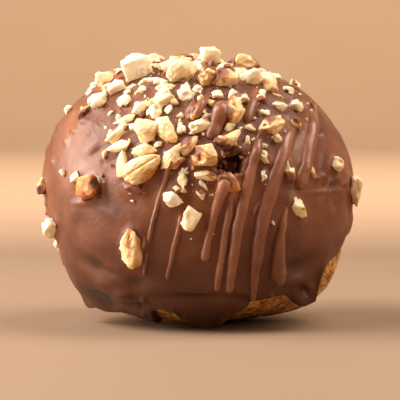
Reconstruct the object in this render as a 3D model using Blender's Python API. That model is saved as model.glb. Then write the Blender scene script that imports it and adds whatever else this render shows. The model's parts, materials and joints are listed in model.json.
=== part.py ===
"""Mini doughnut: a fried ball of dough in a milk chocolate coat, with chopped nuts and a drizzle.

Metres, +Z up. The origin is on the table, under the middle of the doughnut, and the front faces -Y.
There are two solids: the dough, flat where it rests, and the coat, with the nuts and the drizzle
fused to it. The coat stands a fine gap off the dough and is open below, where the dough is bare.
"""

import math
import random

import bmesh
import bpy
from mathutils import Matrix, Vector
from mathutils.bvhtree import BVHTree

MM = 0.001

# The ball of dough: a rounded form about its waist, the level where it is widest.
WAIST = Vector((0, 0, 25.0 * MM))
BALL_HALF_WIDTH = 29.4 * MM
BALL_HALF_DEPTH = 28.8 * MM
BALL_RISE = 25.1 * MM
BALL_DROP = 25.5 * MM
CROWN_POWER = 2.23
SOLE_POWER = 2.6

# Lumps and hollows of the ball: azimuth and elevation in degrees, height in mm, spread in degrees.
# Azimuth 0 is the right-hand side (+X), -90 the front and 90 the back.
LUMPS = (
    (180, 30, 1.1, 20), (180, 0, 0.7, 14), (180, 68, 0.7, 16), (180, -20, -2.5, 16),
    (-142, -56, -1.6, 13), (0, 30, -0.5, 16), (0, -14, -0.9, 12), (-5, -40, 0.9, 18),
    (-35, -62, -1.4, 15), (80, 18, 1.0, 24), (62, -32, -0.8, 18), (125, 48, -0.7, 20),
)

# The coat: its lip is rounded over LIP_LENGTH, and its rows draw closer below LIP_START.
COAT_THICKNESS = 1.2 * MM
COAT_GAP = 0.36 * MM
COAT_OFFSET = COAT_GAP + COAT_THICKNESS
LIP_LENGTH = 1.1 * MM
LIP_START = 3.6 * MM
FLOOR_CLEARANCE = 0.4 * MM

# The coat's lower edge round the doughnut: azimuth, and angle down from straight up, in degrees.
RIM = (
    (-180, 137.5), (-170, 136), (-160, 137.2), (-152, 139), (-146, 140), (-138, 140.3),
    (-133, 143), (-129, 147.5), (-122, 149.5), (-119, 143), (-114.5, 135), (-108, 133.5),
    (-103, 135), (-99, 141), (-92, 147), (-80, 147),
    (-74, 139), (-70, 134), (-66, 129), (-58, 127), (-51, 126.8), (-46, 127.8), (-42, 128.8),
    (-39.5, 128.8), (-37.5, 127), (-36, 119.5), (-34, 116.2), (-30.5, 113.8), (-27, 112),
    (-24.5, 109), (-20, 105), (-14, 102.5), (-9, 101), (4, 102), (28, 110), (50, 105), (74, 115),
    (96, 110), (120, 122), (140, 118), (160, 132),
)

# Thick runs at the lower edge: azimuth, spread in degrees, extra thickness and reach in mm.
RUNS = (
    (-40.5, 5, 2.4, 2.8), (-85, 12, 0.8, 3.0), (-149, 9, 0.6, 2.6), (-172, 8, 0.7, 3.0),
    (28, 9, 0.9, 3.4), (76, 10, 1.1, 3.8), (122, 9, 0.9, 3.4),
)

# The small pit in the front of the coat, seen among the nuts.
PIT_ACROSS = 6.4 * MM
PIT_UP = 31.4 * MM
PIT_RADIUS = 2.0 * MM
PIT_DEPTH = 3.4 * MM
PIT_LINING = 1.0 * MM
PIT_LINING_SUNK = 0.4 * MM
PIT_MOUTH = 3.0 * MM

# Nuts and drizzle are laid out on an upright sheet through the middle of the doughnut, and are
# carried on to the coat along the line of sight of an eye in front of it, or behind it.
EYE_DISTANCE = 500 * MM
EYE_ELEVATION = math.radians(3)

# The nuts that stand out: across and up on the sheet, length and width in mm, turn in degrees, and
# for those seen at the edge the height they stand above the coat in mm.
NUTS = (
    # crown
    (-19.4, 48.7, 4.2, 3.3, 20, 3.2), (-16.9, 46.7, 3.6, 3.1, 10), (-20.0, 44.5, 4.4, 3.8, 50),
    (-12.9, 50.8, 5.9, 4.9, 10, 4.5), (-13.4, 46.9, 2.4, 1.7, 20), (-10.8, 47.9, 3.4, 2.2, 5),
    (-3.4, 50.3, 7.4, 4.2, 50, 4.6), (2.0, 53.0, 4.0, 3.6, 20, 3.4), (1.9, 49.1, 4.6, 3.4, 30, 3.3),
    (5.2, 48.5, 4.8, 3.9, -20, 3.6), (9.9, 51.7, 5.0, 3.2, -10, 2.9),
    (10.8, 48.9, 4.2, 3.3, 40, 3.4), (14.2, 47.7, 5.4, 3.2, -55, 3.0),
    (19.0, 47.3, 2.9, 2.3, -35, 1.8),
    # upper left
    (-7.0, 46.8, 4.2, 2.6, 0), (-7.4, 44.6, 4.1, 3.5, 40), (-3.1, 45.3, 3.9, 3.0, -20),
    (-12.2, 43.0, 4.2, 3.2, 60), (-8.8, 42.2, 4.1, 3.3, 45), (-6.3, 42.2, 2.6, 1.8, 80),
    (3.5, 45.2, 2.2, 1.8, 10), (1.5, 40.9, 2.4, 1.7, 20), (-3.7, 38.1, 1.9, 1.6, 5),
    (-15.2, 40.1, 5.2, 2.0, 10), (-11.1, 38.2, 5.6, 5.0, -20), (-7.1, 38.2, 6.4, 3.7, -70),
    (-16.6, 37.6, 5.8, 2.8, 25), (-16.4, 35.0, 5.3, 2.9, 10), (-11.0, 34.2, 5.0, 2.9, -15),
    (-15.7, 31.3, 5.4, 2.6, 80), (-11.8, 30.5, 8.4, 5.0, 25), (-13.7, 26.8, 4.8, 2.9, -5),
    # upper right
    (8.2, 44.6, 3.1, 2.7, 30), (12.4, 44.7, 3.2, 2.5, 80), (15.6, 45.0, 3.0, 1.5, 5),
    (16.2, 43.1, 3.4, 2.7, 20), (12.5, 41.7, 2.1, 1.5, 15), (19.6, 43.1, 4.4, 2.9, 50),
    (22.1, 43.2, 2.4, 1.8, 30), (6.7, 42.1, 5.0, 4.3, 60), (-1.1, 42.3, 5.0, 3.3, 70),
    (14.6, 39.2, 6.8, 3.9, 45), (19.5, 39.9, 3.1, 2.6, -30), (0.0, 39.1, 4.3, 3.0, 30),
    # round the pit
    (-2.3, 35.4, 4.6, 3.1, 40), (-5.3, 32.7, 6.2, 3.9, 60), (0.9, 32.9, 5.9, 5.2, 60),
    (5.7, 36.4, 5.8, 3.0, 25), (6.0, 34.2, 4.0, 1.9, 5), (1.3, 29.1, 4.8, 2.1, -5),
    (0.6, 27.1, 2.8, 1.3, -60), (-3.3, 29.9, 2.2, 1.6, 20), (-3.5, 28.2, 4.1, 2.0, 100),
    (5.7, 27.5, 4.4, 3.6, -65), (13.1, 32.8, 3.4, 2.2, -40), (12.9, 29.0, 2.3, 1.5, 90),
    # strays
    (-5.5, 24.2, 4.3, 3.1, -15), (-2.0, 20.2, 4.3, 3.5, 60), (-13.9, 14.5, 7.2, 5.2, 80),
    (-22.5, 26.7, 5.2, 4.6, 10), (-25.1, 28.6, 3.0, 1.9, 40), (-23.2, 41.8, 3.9, 2.6, 30),
    (-31.8, 26.9, 3.4, 2.6, 70, 2.0), (-30.2, 18.4, 4.6, 3.6, 60, 2.6),
    (-29.0, 14.8, 3.0, 2.2, -70, 1.6), (-27.9, 12.4, 3.4, 1.8, -70, 1.0),
    (27.7, 31.4, 3.5, 3.2, 20), (31.4, 25.9, 6.3, 3.2, -75, 2.5), (19.8, 22.4, 4.9, 2.9, -60),
    (18.2, 30.1, 4.3, 2.6, 90), (22.3, 29.9, 3.6, 2.2, -50),
)

# The rest of the nuts are strewn by a rule over a cap that leans to the front and tips to the left.
# They keep off the right shoulder, a band this wide to each side as a share of the ball's radius.
STREWN_SEED = 37
STREWN_COUNT = 58
STREWN_LONGEST = 5.2 * MM
STREWN_SHORTEST = 2.0 * MM
STREWN_LEAN = math.radians(14)
STREWN_TIP = math.radians(-4)
STREWN_SPREAD = math.radians(42)
STREWN_ROOM = 0.44
STREWN_STANDS = 0.5
SHOULDER = 0.24

# A piece of nut: the height it stands above the coat over its width, and the depth it is sunk in
# the coat over that height, with a limit that keeps it within the coat.
NUT_SEED = 5
NUT_CORNERS = 10
NUT_SMALL = 2.8 * MM
NUT_SMALL_CORNERS = 7
NUT_STANDS = 0.6
NUT_SUNK = 0.45
NUT_DEEPEST = 1.1 * MM

# The drizzle: side (1 front, -1 back), across and up of the head, across and up of the tail, how
# far it bows to the right, and its width at the head, the middle and the tail, all in mm.
STRANDS = (
    (1, -5.8, 31.2, -11.2, 9.2, -0.8, 0.9, 1.0, 0.7),
    (1, -3.4, 22.6, -6.6, 8.4, 0.0, 0.9, 1.0, 0.8),
    (1, 5.2, 28.8, 0.9, 12.0, -0.4, 3.0, 1.6, 1.7),
    (1, 6.4, 26.2, 3.3, 6.0, 0.0, 1.6, 1.4, 1.3),
    (1, 12.6, 38.6, 5.8, 5.8, -0.9, 1.8, 2.3, 1.8),
    (1, 18.6, 38.6, 10.6, 4.0, -1.7, 2.6, 3.0, 1.0),
    (1, 12.6, 24.8, 10.4, 21.2, 0.0, 1.2, 1.0, 0.8),
    (1, 18.2, 24.8, 16.0, 7.6, -1.2, 0.8, 2.2, 3.8),
    (1, 23.2, 43.2, 19.6, 26.6, 0.5, 2.6, 2.9, 2.8),
    (1, 11.4, 46.6, 9.0, 39.6, 0.2, 1.8, 2.4, 1.8),
    (1, 5.2, 44.8, 1.8, 36.4, 0.3, 2.6, 3.2, 2.6),
    (1, 2.2, 46.6, -1.0, 40.2, 0.2, 1.4, 1.6, 1.5),
    (-1, -16.6, 44.6, -18.6, 27.0, -0.6, 1.8, 2.0, 2.2),
    (-1, -9.4, 48.2, -12.8, 17.5, -0.8, 1.8, 2.4, 1.8),
    (-1, -5.2, 48.8, -7.4, 31.0, -0.5, 1.4, 1.6, 1.8),
    (-1, 2.4, 49.0, -0.6, 21.0, -0.7, 2.0, 2.6, 2.0),
    (-1, 6.2, 48.4, 4.2, 29.5, -0.4, 1.2, 1.4, 1.7),
    (-1, 14.8, 45.6, 12.6, 25.0, -0.5, 1.7, 2.0, 1.8),
)
STRAND_SIDES = 5
STRAND_STEP = 2.5 * MM
STRAND_RISE = 0.46
STRAND_HIGHEST = 1.1 * MM
STRAND_END = 0.75
STRAND_TIP = 0.3

# Facets of the solids.
AROUND = 60
CROWN_ROWS = 13
INNER_ROWS = 12
LIP_SPANS = (2.4, 1.1, 0.45, 0.12)
DOUGH_AROUND = 48
DOUGH_ROWS = 20
PIT_AROUND = 14
PIT_ROWS = 4

DOUGH_COLOUR = (0.55, 0.27, 0.08, 1)
CHOCOLATE_COLOUR = (0.22, 0.09, 0.05, 1)


def clear_scene():
    for item in list(bpy.data.objects):
        bpy.data.objects.remove(item)


def direction(azimuth, polar):
    """Unit vector at an azimuth, at an angle polar down from straight up."""
    ring = math.sin(polar)
    return Vector((ring * math.cos(azimuth), ring * math.sin(azimuth), math.cos(polar)))


LUMP_AXES = tuple(
    (direction(math.radians(azimuth), math.radians(90 - elevation)), height * MM, math.radians(spread))
    for azimuth, elevation, height, spread in LUMPS
)


def ball_radius(way):
    """Distance from the middle of the waist to the dough's skin along a unit vector."""
    level = abs(way.z) / (BALL_RISE if way.z > 0 else BALL_DROP)
    power = CROWN_POWER if way.z > 0 else SOLE_POWER
    girth = math.hypot(way.x / BALL_HALF_WIDTH, way.y / BALL_HALF_DEPTH)
    plain = (girth**power + level**power) ** (-1 / power)
    return plain + sum(
        height * math.exp(-((way.angle(axis) / spread) ** 2)) for axis, height, spread in LUMP_AXES
    )


def skin_point(way, offset):
    """Point at a distance offset outside the dough's skin."""
    return WAIST + way * (ball_radius(way) + offset)


def skin_frame(way, offset):
    """Point and outward normal of the skin moved out by offset."""
    here = skin_point(way, offset)
    side = way.orthogonal().normalized()
    nudge = 0.02
    first = skin_point((way + side * nudge).normalized(), offset) - here
    second = skin_point((way + way.cross(side) * nudge).normalized(), offset) - here
    return here, first.cross(second).normalized()


def polar_at_height(azimuth, height):
    """Angle down from straight up at which the dough's skin is at a height above the table."""
    high_up, low_down = math.radians(60), math.pi
    for _ in range(40):
        middle = (high_up + low_down) / 2
        if skin_point(direction(azimuth, middle), 0).z > height:
            high_up = middle
        else:
            low_down = middle
    return high_up


def eased(share):
    """Smooth step from 0 to 1."""
    return share * share * (3 - 2 * share)


def turn_between(first, second):
    """Degrees from one azimuth to another the short way round."""
    return (second - first + 180) % 360 - 180


def rim_polar(azimuth):
    """Angle down from straight up of the coat's lower edge, for an azimuth in degrees."""
    knots = (*RIM, (RIM[0][0] + 360, RIM[0][1]))
    place = (azimuth - RIM[0][0]) % 360 + RIM[0][0]
    for (start, above), (end, below) in zip(knots, knots[1:]):
        if place <= end:
            return math.radians(above + (below - above) * eased((place - start) / (end - start)))
    return math.radians(RIM[0][1])


def run_thickness(azimuth, from_rim):
    """Extra thickness of the coat in its thick runs, in metres."""
    return MM * sum(
        extra
        * math.exp(-((turn_between(place, azimuth) / spread) ** 2))
        * math.exp(-((from_rim / (reach * MM)) ** 2))
        for place, spread, extra, reach in RUNS
    )


def coat_thickness(azimuth, from_rim):
    """Thickness of the coat, with a rounded lip, at a distance up from its lower edge."""
    full = COAT_THICKNESS + run_thickness(azimuth, from_rim)
    back = max(0.0, 1 - from_rim / LIP_LENGTH)
    return full * math.sqrt(1 - back * back)


def mesh_object(name, points, faces):
    mesh = bpy.data.meshes.new(name)
    mesh.from_pydata([tuple(p) for p in points], [], faces)
    made = bpy.data.objects.new(name, mesh)
    bpy.context.scene.collection.objects.link(made)
    return made


def ring_faces(first, second, around):
    """Quads between two rings of points, named by their first indices."""
    return [
        (first + k, second + k, second + (k + 1) % around, first + (k + 1) % around)
        for k in range(around)
    ]


def dough_solid():
    """The ball of dough, cut off flat where it rests."""
    points = [skin_point(Vector((0, 0, 1)), 0)]
    azimuths = [math.tau * k / DOUGH_AROUND for k in range(DOUGH_AROUND)]
    soles = [polar_at_height(azimuth, 0) for azimuth in azimuths]
    for row in range(1, DOUGH_ROWS + 1):
        for azimuth, sole in zip(azimuths, soles):
            point = skin_point(direction(azimuth, sole * row / DOUGH_ROWS), 0)
            if row == DOUGH_ROWS:
                point.z = 0
            points.append(point)
    faces = [(0, 1 + k, 1 + (k + 1) % DOUGH_AROUND) for k in range(DOUGH_AROUND)]
    for row in range(DOUGH_ROWS - 1):
        first = 1 + row * DOUGH_AROUND
        faces += ring_faces(first, first + DOUGH_AROUND, DOUGH_AROUND)
    last = 1 + (DOUGH_ROWS - 1) * DOUGH_AROUND
    faces.append(tuple(last + k for k in reversed(range(DOUGH_AROUND))))
    return mesh_object("dough", points, faces)


def coat_rows():
    """Rows of the coat's outer face, as (share of the way to the lip, distance up from the rim)."""
    even = [(row / CROWN_ROWS, None) for row in range(1, CROWN_ROWS + 1)]
    return even + [(1, span * MM) for span in LIP_SPANS]


def coat_shell():
    """The bare coat: an outer and an inner face, joined by a rounded lip at the rim."""
    azimuths = [math.tau * k / AROUND for k in range(AROUND)]
    rims = [rim_polar(math.degrees(azimuth)) for azimuth in azimuths]
    top = Vector((0, 0, 1))
    points = [skin_point(top, COAT_OFFSET)]
    rings = []
    for share, span in coat_rows():
        rings.append(len(points))
        for azimuth, rim in zip(azimuths, rims):
            arm = ball_radius(direction(azimuth, rim))
            from_rim = span if span is not None else LIP_START + (rim * arm - LIP_START) * (1 - share)
            way = direction(azimuth, rim - from_rim / arm)
            offset = COAT_GAP + coat_thickness(math.degrees(azimuth), from_rim)
            point = skin_point(way, offset)
            point.z = max(point.z, FLOOR_CLEARANCE)
            points.append(point)
    for row in range(INNER_ROWS, 0, -1):
        rings.append(len(points))
        points += [
            skin_point(direction(azimuth, rim * row / INNER_ROWS), COAT_GAP)
            for azimuth, rim in zip(azimuths, rims)
        ]
    faces = [(0, 1 + k, 1 + (k + 1) % AROUND) for k in range(AROUND)]
    for first, second in zip(rings, rings[1:]):
        faces += ring_faces(first, second, AROUND)
    points.append(skin_point(top, COAT_GAP))
    under = len(points) - 1
    faces += [(under, rings[-1] + (k + 1) % AROUND, rings[-1] + k) for k in range(AROUND)]
    return mesh_object("chocolate_coat", points, faces)


def sighted(across, up, side=1, above=0):
    """Unit vector from the waist to where a line of sight meets the coat, or a level above it.

    A line that passes outside the doughnut gives the place nearest to it.
    """
    fore = Vector((0, -side * math.cos(EYE_ELEVATION), math.sin(EYE_ELEVATION)))
    upright = Vector((0, side * math.sin(EYE_ELEVATION), math.cos(EYE_ELEVATION)))
    eye = WAIST + fore * EYE_DISTANCE
    aim = WAIST + Vector((across, 0, 0)) + upright * (up - WAIST.z)
    line = (aim - eye).normalized()
    nearest = eye + line * line.dot(WAIST - eye)
    near, far = (eye - nearest).length, 0.0
    if (nearest - WAIST).length > ball_radius((nearest - WAIST).normalized()) + COAT_OFFSET + above:
        return (nearest - WAIST).normalized()
    for _ in range(40):
        middle = (near + far) / 2
        arm = nearest - line * middle - WAIST
        if arm.length > ball_radius(arm.normalized()) + COAT_OFFSET + above:
            near = middle
        else:
            far = middle
    return (nearest - line * near - WAIST).normalized()


def placed_nuts():
    """(way, length, width, turn, stands) of the nuts that stand out."""
    placed = []
    for across, up, length, width, turn, *edge_on in NUTS:
        stands = edge_on[0] if edge_on else width * NUT_STANDS
        way = sighted(across * MM, up * MM, 1, stands / 2 * MM)
        placed.append((way, length * MM, width * MM, math.radians(turn), stands * MM))
    return placed


def strewn_nuts(taken):
    """(way, length, width, turn, stands) of nuts that fill the room left, the largest first."""
    draw = random.Random(STREWN_SEED)
    lean = Matrix.Rotation(STREWN_LEAN, 3, "X") @ Matrix.Rotation(STREWN_TIP, 3, "Y")
    pit = sighted(PIT_ACROSS, PIT_UP)
    strewn = []
    for index in range(STREWN_COUNT):
        share = index / (STREWN_COUNT - 1)
        length = STREWN_LONGEST + (STREWN_SHORTEST - STREWN_LONGEST) * share
        width = length * draw.uniform(0.58, 0.85)
        for _ in range(60):
            polar = STREWN_SPREAD * math.sqrt(draw.random())
            way = lean @ direction(draw.uniform(0, math.tau), polar)
            arm = ball_radius(way)
            clear = all(
                way.angle(other[0]) * arm > STREWN_ROOM * (length + other[1])
                for other in taken + strewn
            )
            if clear and way.angle(pit) * arm > PIT_RADIUS + length / 2:
                turn = draw.uniform(-math.pi, math.pi)
                strewn.append((way, length, width, turn, width * STREWN_STANDS))
                break
    return [nut for nut in strewn if abs(nut[0].y) > SHOULDER or nut[0].x < 0]


def nut_seat(way, turn):
    """Matrix that stands a nut on the coat, its length turned from the doughnut's left-to-right."""
    place, normal = skin_frame(way, COAT_OFFSET)
    level = Vector((1, 0, 0)) if abs(normal.x) < 0.8 else Vector((0, math.copysign(1, normal.x), 0))
    along = Matrix.Rotation(turn, 3, normal) @ (level - normal * level.dot(normal)).normalized()
    beside = normal.cross(along)
    seat = Matrix((along, beside, normal)).transposed().to_4x4()
    seat.translation = place
    return seat


def nut_corners(draw, size):
    """Corner points of one broken piece of nut that just fills a box of a size, about its middle."""
    golden = math.pi * (3 - math.sqrt(5))
    count = NUT_CORNERS if size[0] > NUT_SMALL else NUT_SMALL_CORNERS
    corners = []
    for k in range(count):
        level = 1 - 2 * (k + 0.5) / count
        ring = math.sqrt(1 - level * level)
        turn = k * golden + draw.uniform(-0.45, 0.45)
        reach = draw.uniform(0.85, 1.15)
        side = Vector((ring * math.cos(turn) * reach, ring * math.sin(turn) * reach, level))
        corners.append(side)
    for axis in range(3):
        low = min(corner[axis] for corner in corners)
        high = max(corner[axis] for corner in corners)
        for corner in corners:
            corner[axis] = ((corner[axis] - low) / (high - low) - 0.5) * size[axis]
    return corners


def nut_solids(nuts):
    """One convex solid for each nut, sunk a little into the coat."""
    draw = random.Random(NUT_SEED)
    made = []
    for number, (way, length, width, turn, stands) in enumerate(nuts):
        height = stands + min(stands * NUT_SUNK, NUT_DEEPEST)
        seat = nut_seat(way, turn) @ Matrix.Translation((0, 0, stands - height / 2))
        form = bmesh.new()
        for corner in nut_corners(draw, (length, width, height)):
            form.verts.new(seat @ corner)
        bmesh.ops.convex_hull(form, input=form.verts)
        bmesh.ops.recalc_face_normals(form, faces=form.faces)
        mesh = bpy.data.meshes.new(f"nut_{number}")
        form.to_mesh(mesh)
        form.free()
        made.append(bpy.data.objects.new(f"nut_{number}", mesh))
    return made


def through(share, start, middle, end):
    """Value on a smooth curve that passes a start, a middle and an end."""
    return (
        start * (1 - share) * (1 - 2 * share)
        + middle * 4 * share * (1 - share)
        + end * share * (2 * share - 1)
    )


def topmost(tree, way):
    """Distance from the waist to the outermost surface along a unit vector."""
    hit, _, _, _ = tree.ray_cast(WAIST + way * WAIST.z * 2, -way)
    return (hit - WAIST).length


def strand_solid(number, strand, tree):
    """One strand of drizzle: a flattened tube that lies over the coat and the nuts."""
    side, head_across, head_up, tail_across, tail_up, bow, head, waist, tail = strand
    span = math.hypot(tail_across - head_across, tail_up - head_up) * MM
    last = max(3, round(span / STRAND_STEP))
    shares = [k / last for k in range(last + 1)]
    ways = [
        sighted(
            (head_across + (tail_across - head_across) * share + 4 * bow * share * (1 - share)) * MM,
            (head_up + (tail_up - head_up) * share) * MM,
            side,
        )
        for share in shares
    ]
    reaches = [topmost(tree, way) for way in ways]
    for _ in range(2):
        ends = [reaches[0], *reaches, reaches[-1]]
        reaches = [max(k, (i + j) / 2) for i, k, j in zip(ends, ends[1:], ends[2:])]
    spine = [WAIST + way * reach for way, reach in zip(ways, reaches)]
    points = []
    for k, (middle, way, share) in enumerate(zip(spine, ways, shares)):
        ahead = (spine[min(k + 1, last)] - spine[max(k - 1, 0)]).normalized()
        beside = ahead.cross(way).normalized()
        outward = beside.cross(ahead)
        half = through(share, head, waist, tail) / 2 * MM * (STRAND_END if k in (0, last) else 1)
        rise = min(half * 2 * STRAND_RISE, STRAND_HIGHEST)
        for corner in range(STRAND_SIDES):
            turn = math.tau * (corner + 0.75) / STRAND_SIDES
            points.append(middle + beside * half * math.cos(turn) - outward * rise * math.sin(turn))
    faces = []
    for k in range(last):
        faces += ring_faces(k * STRAND_SIDES, (k + 1) * STRAND_SIDES, STRAND_SIDES)
    for end, before, width in ((0, 1, head), (last, last - 1, tail)):
        ahead = (spine[end] - spine[before]).normalized()
        points.append(spine[end] + ahead * width * MM * STRAND_TIP)
        ring = [end * STRAND_SIDES + corner for corner in range(STRAND_SIDES)]
        faces += [(len(points) - 1, *pair) for pair in zip(ring[1:] + ring[:1], ring)]
    form = bmesh.new()
    corners = [form.verts.new(point) for point in points]
    for face in faces:
        form.faces.new([corners[k] for k in face])
    bmesh.ops.recalc_face_normals(form, faces=form.faces)
    mesh = bpy.data.meshes.new(f"strand_{number}")
    form.to_mesh(mesh)
    form.free()
    return bpy.data.objects.new(f"strand_{number}", mesh)


def pit_form(name, grown, mouth):
    """A rounded plug at the pit, larger by grown, cut off flat at a height mouth above the coat."""
    place, normal = skin_frame(sighted(PIT_ACROSS, PIT_UP), COAT_OFFSET)
    stand = Matrix.Translation(place) @ normal.to_track_quat("Z", "Y").to_matrix().to_4x4()
    width = PIT_RADIUS + grown
    depth = PIT_DEPTH + grown
    form = bmesh.new()
    rings = []
    for row in range(PIT_ROWS):
        turn = math.pi / 2 * row / PIT_ROWS
        level = mouth if row == 0 else -depth * math.sin(turn)
        ring = [direction(math.tau * k / PIT_AROUND, math.pi / 2) for k in range(PIT_AROUND)]
        rings.append([
            form.verts.new(stand @ (way * width * math.cos(turn) + Vector((0, 0, level))))
            for way in ring
        ])
    form.faces.new(rings[0])
    pole = form.verts.new(stand @ Vector((0, 0, -depth)))
    for first, second in zip(rings, rings[1:]):
        for k in range(PIT_AROUND):
            beyond = (k + 1) % PIT_AROUND
            form.faces.new((first[k], second[k], second[beyond], first[beyond]))
    for k in range(PIT_AROUND):
        form.faces.new((rings[-1][k], pole, rings[-1][(k + 1) % PIT_AROUND]))
    bmesh.ops.recalc_face_normals(form, faces=form.faces)
    mesh = bpy.data.meshes.new(name)
    form.to_mesh(mesh)
    form.free()
    return bpy.data.objects.new(name, mesh)


def boolean(target, operation, pieces):
    """Joins or cuts a target with pieces, which are then removed."""
    group = bpy.data.collections.new("pieces")
    bpy.context.scene.collection.children.link(group)
    for piece in pieces:
        group.objects.link(piece)
    change = target.modifiers.new(operation.lower(), "BOOLEAN")
    change.operation = operation
    change.operand_type = "COLLECTION"
    change.collection = group
    change.solver = "MANIFOLD"
    bpy.context.view_layer.objects.active = target
    bpy.ops.object.modifier_apply(modifier=change.name)
    for piece in pieces:
        bpy.data.objects.remove(piece)
    bpy.data.collections.remove(group)


def keep_main_body(target):
    """Drops loose scraps and fills hollows that the joining sealed, which are bodies of their own."""
    form = bmesh.new()
    form.from_mesh(target.data)
    bmesh.ops.triangulate(form, faces=form.faces)
    waiting = set(form.faces)
    bodies = []
    while waiting:
        body = {waiting.pop()}
        edge = list(body)
        while edge:
            face = edge.pop()
            for side in face.edges:
                for other in side.link_faces:
                    if other in waiting:
                        waiting.discard(other)
                        body.add(other)
                        edge.append(other)
        bodies.append(body)
    bodies.sort(key=len)
    for body in bodies[:-1]:
        bmesh.ops.delete(form, geom=list(body), context="FACES")
    form.to_mesh(target.data)
    form.free()


def painted(target, name, colour, roughness):
    """Gives a solid its material and smooth shading between its sharper edges."""
    material = bpy.data.materials.new(name)
    material.use_nodes = True
    shader = material.node_tree.nodes["Principled BSDF"]
    shader.inputs["Base Color"].default_value = colour
    shader.inputs["Roughness"].default_value = roughness
    shader.inputs["Metallic"].default_value = 0
    target.data.materials.clear()
    target.data.materials.append(material)
    target.data.shade_smooth()
    target.data.set_sharp_from_angle(angle=math.radians(35))


def coat_solid():
    """The coat with its pit, nuts and drizzle, as one solid."""
    coat = coat_shell()
    boolean(coat, "UNION", [pit_form("pit_lining", PIT_LINING, -PIT_LINING_SUNK)])
    boolean(coat, "DIFFERENCE", [pit_form("pit", 0, PIT_MOUTH)])
    placed = placed_nuts()
    nuts = nut_solids(placed + strewn_nuts(placed))
    form = bmesh.new()
    for solid in [coat, *nuts]:
        form.from_mesh(solid.data)
    tree = BVHTree.FromBMesh(form)
    form.free()
    strands = [strand_solid(number, strand, tree) for number, strand in enumerate(STRANDS)]
    boolean(coat, "UNION", nuts + strands)
    keep_main_body(coat)
    return coat


def main():
    clear_scene()
    dough = dough_solid()
    boolean(dough, "DIFFERENCE", [pit_form("pit_room", PIT_LINING + COAT_GAP, PIT_MOUTH)])
    coat = coat_solid()
    painted(dough, "fried_dough", DOUGH_COLOUR, 0.6)
    painted(coat, "milk_chocolate", CHOCOLATE_COLOUR, 0.38)


main()
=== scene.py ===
"""Looks of a mini doughnut: a fried ball of dough in milk chocolate, with chopped nuts and drizzle.

Sizes are in millimetres until a mesh is made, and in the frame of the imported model: +Z up, the front
faces -Y. The coat, the nuts and the drizzle lie where the solid coat has them, by the same rules.
"""

import json
import logging
import math
import random
from collections.abc import Iterable, Sequence
from dataclasses import dataclass, field
from enum import Enum

import bmesh
import bpy
import numpy as np
from mathutils import Matrix, Vector, noise
from mathutils.bvhtree import BVHTree
from mathutils.kdtree import KDTree

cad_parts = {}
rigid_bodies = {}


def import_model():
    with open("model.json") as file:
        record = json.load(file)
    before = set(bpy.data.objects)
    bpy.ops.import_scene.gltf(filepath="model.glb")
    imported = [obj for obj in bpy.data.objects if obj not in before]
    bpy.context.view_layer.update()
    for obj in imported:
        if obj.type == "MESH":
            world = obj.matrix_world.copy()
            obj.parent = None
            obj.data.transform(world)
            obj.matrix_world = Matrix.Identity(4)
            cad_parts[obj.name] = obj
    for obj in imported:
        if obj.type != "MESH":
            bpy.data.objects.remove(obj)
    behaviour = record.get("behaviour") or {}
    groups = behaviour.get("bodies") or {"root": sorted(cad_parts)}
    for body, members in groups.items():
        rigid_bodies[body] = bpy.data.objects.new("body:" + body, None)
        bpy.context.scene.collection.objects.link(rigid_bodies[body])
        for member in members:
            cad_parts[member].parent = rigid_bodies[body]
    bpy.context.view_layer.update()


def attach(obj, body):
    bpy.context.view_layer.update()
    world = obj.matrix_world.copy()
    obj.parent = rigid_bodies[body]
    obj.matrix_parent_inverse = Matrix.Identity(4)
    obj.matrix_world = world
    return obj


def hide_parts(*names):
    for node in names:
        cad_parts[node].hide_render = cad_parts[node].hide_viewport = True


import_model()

log = logging.getLogger("mini_doughnut")

MM = 0.001

# The middle of the heap of nuts, seen from the middle of the ball.
HEAP = np.array((-0.09, -0.66, 0.746))

# The eye that the nuts and the drizzle are laid out for, and the width that it sees there.
EYE_DISTANCE = 500.0
EYE_ELEVATION = math.radians(3)
AIM_HEIGHT = 24.2
SEEN_WIDTH = 80.0

# The solid coat's thickness, and the gap between it and the dough, which the dressed coat closes.
COAT_THICKNESS = 1.2
COAT_GAP = 0.36
COAT_OFFSET = COAT_GAP + COAT_THICKNESS

Colour = tuple[int, int, int]
Layers = tuple[tuple[float, float, int], ...]


# --- helpers for shapes ---------------------------------------------------------------------------


def unit(vectors: np.ndarray) -> np.ndarray:
    """Vectors scaled to length 1 along the last axis."""
    return vectors / np.linalg.norm(vectors, axis=-1, keepdims=True)


def directions(azimuths: np.ndarray, polars: np.ndarray) -> np.ndarray:
    """Unit vectors by their angles.

    Args:
        azimuths: turns from the right-hand side, in radians.
        polars: angles down from straight up, in radians.

    Returns:
        A vector for each pair.
    """
    azimuths, polars = np.broadcast_arrays(azimuths, polars)
    ring = np.sin(polars)
    return np.stack((ring * np.cos(azimuths), ring * np.sin(azimuths), np.cos(polars)), axis=-1)


def eased(share: np.ndarray) -> np.ndarray:
    """A smooth step from 0 to 1, level outside that range."""
    share = np.clip(share, 0, 1)
    return share * share * (3 - 2 * share)


def lumpy(points: np.ndarray, size: float, seed: int) -> np.ndarray:
    """Smooth noise at points.

    Args:
        points: places, one to a row.
        size: how far apart its lumps are.
        seed: picks one such noise.

    Returns:
        A value for each point, mostly between -1 and 1.
    """
    shift = Vector((17.3, 7.7, 3.1)) * seed
    return np.array([noise.noise(Vector(point) / size + shift) for point in points])


def layered(points: np.ndarray, layers: Layers, level: float = 0.0) -> np.ndarray:
    """Noises of several heights and sizes, laid over one another.

    Args:
        points: places, one to a row.
        layers: height, size and seed of each noise.
        level: what they are added to.

    Returns:
        A value for each point.
    """
    return sum((height * lumpy(points, size, seed) for height, size, seed in layers), level)


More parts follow.
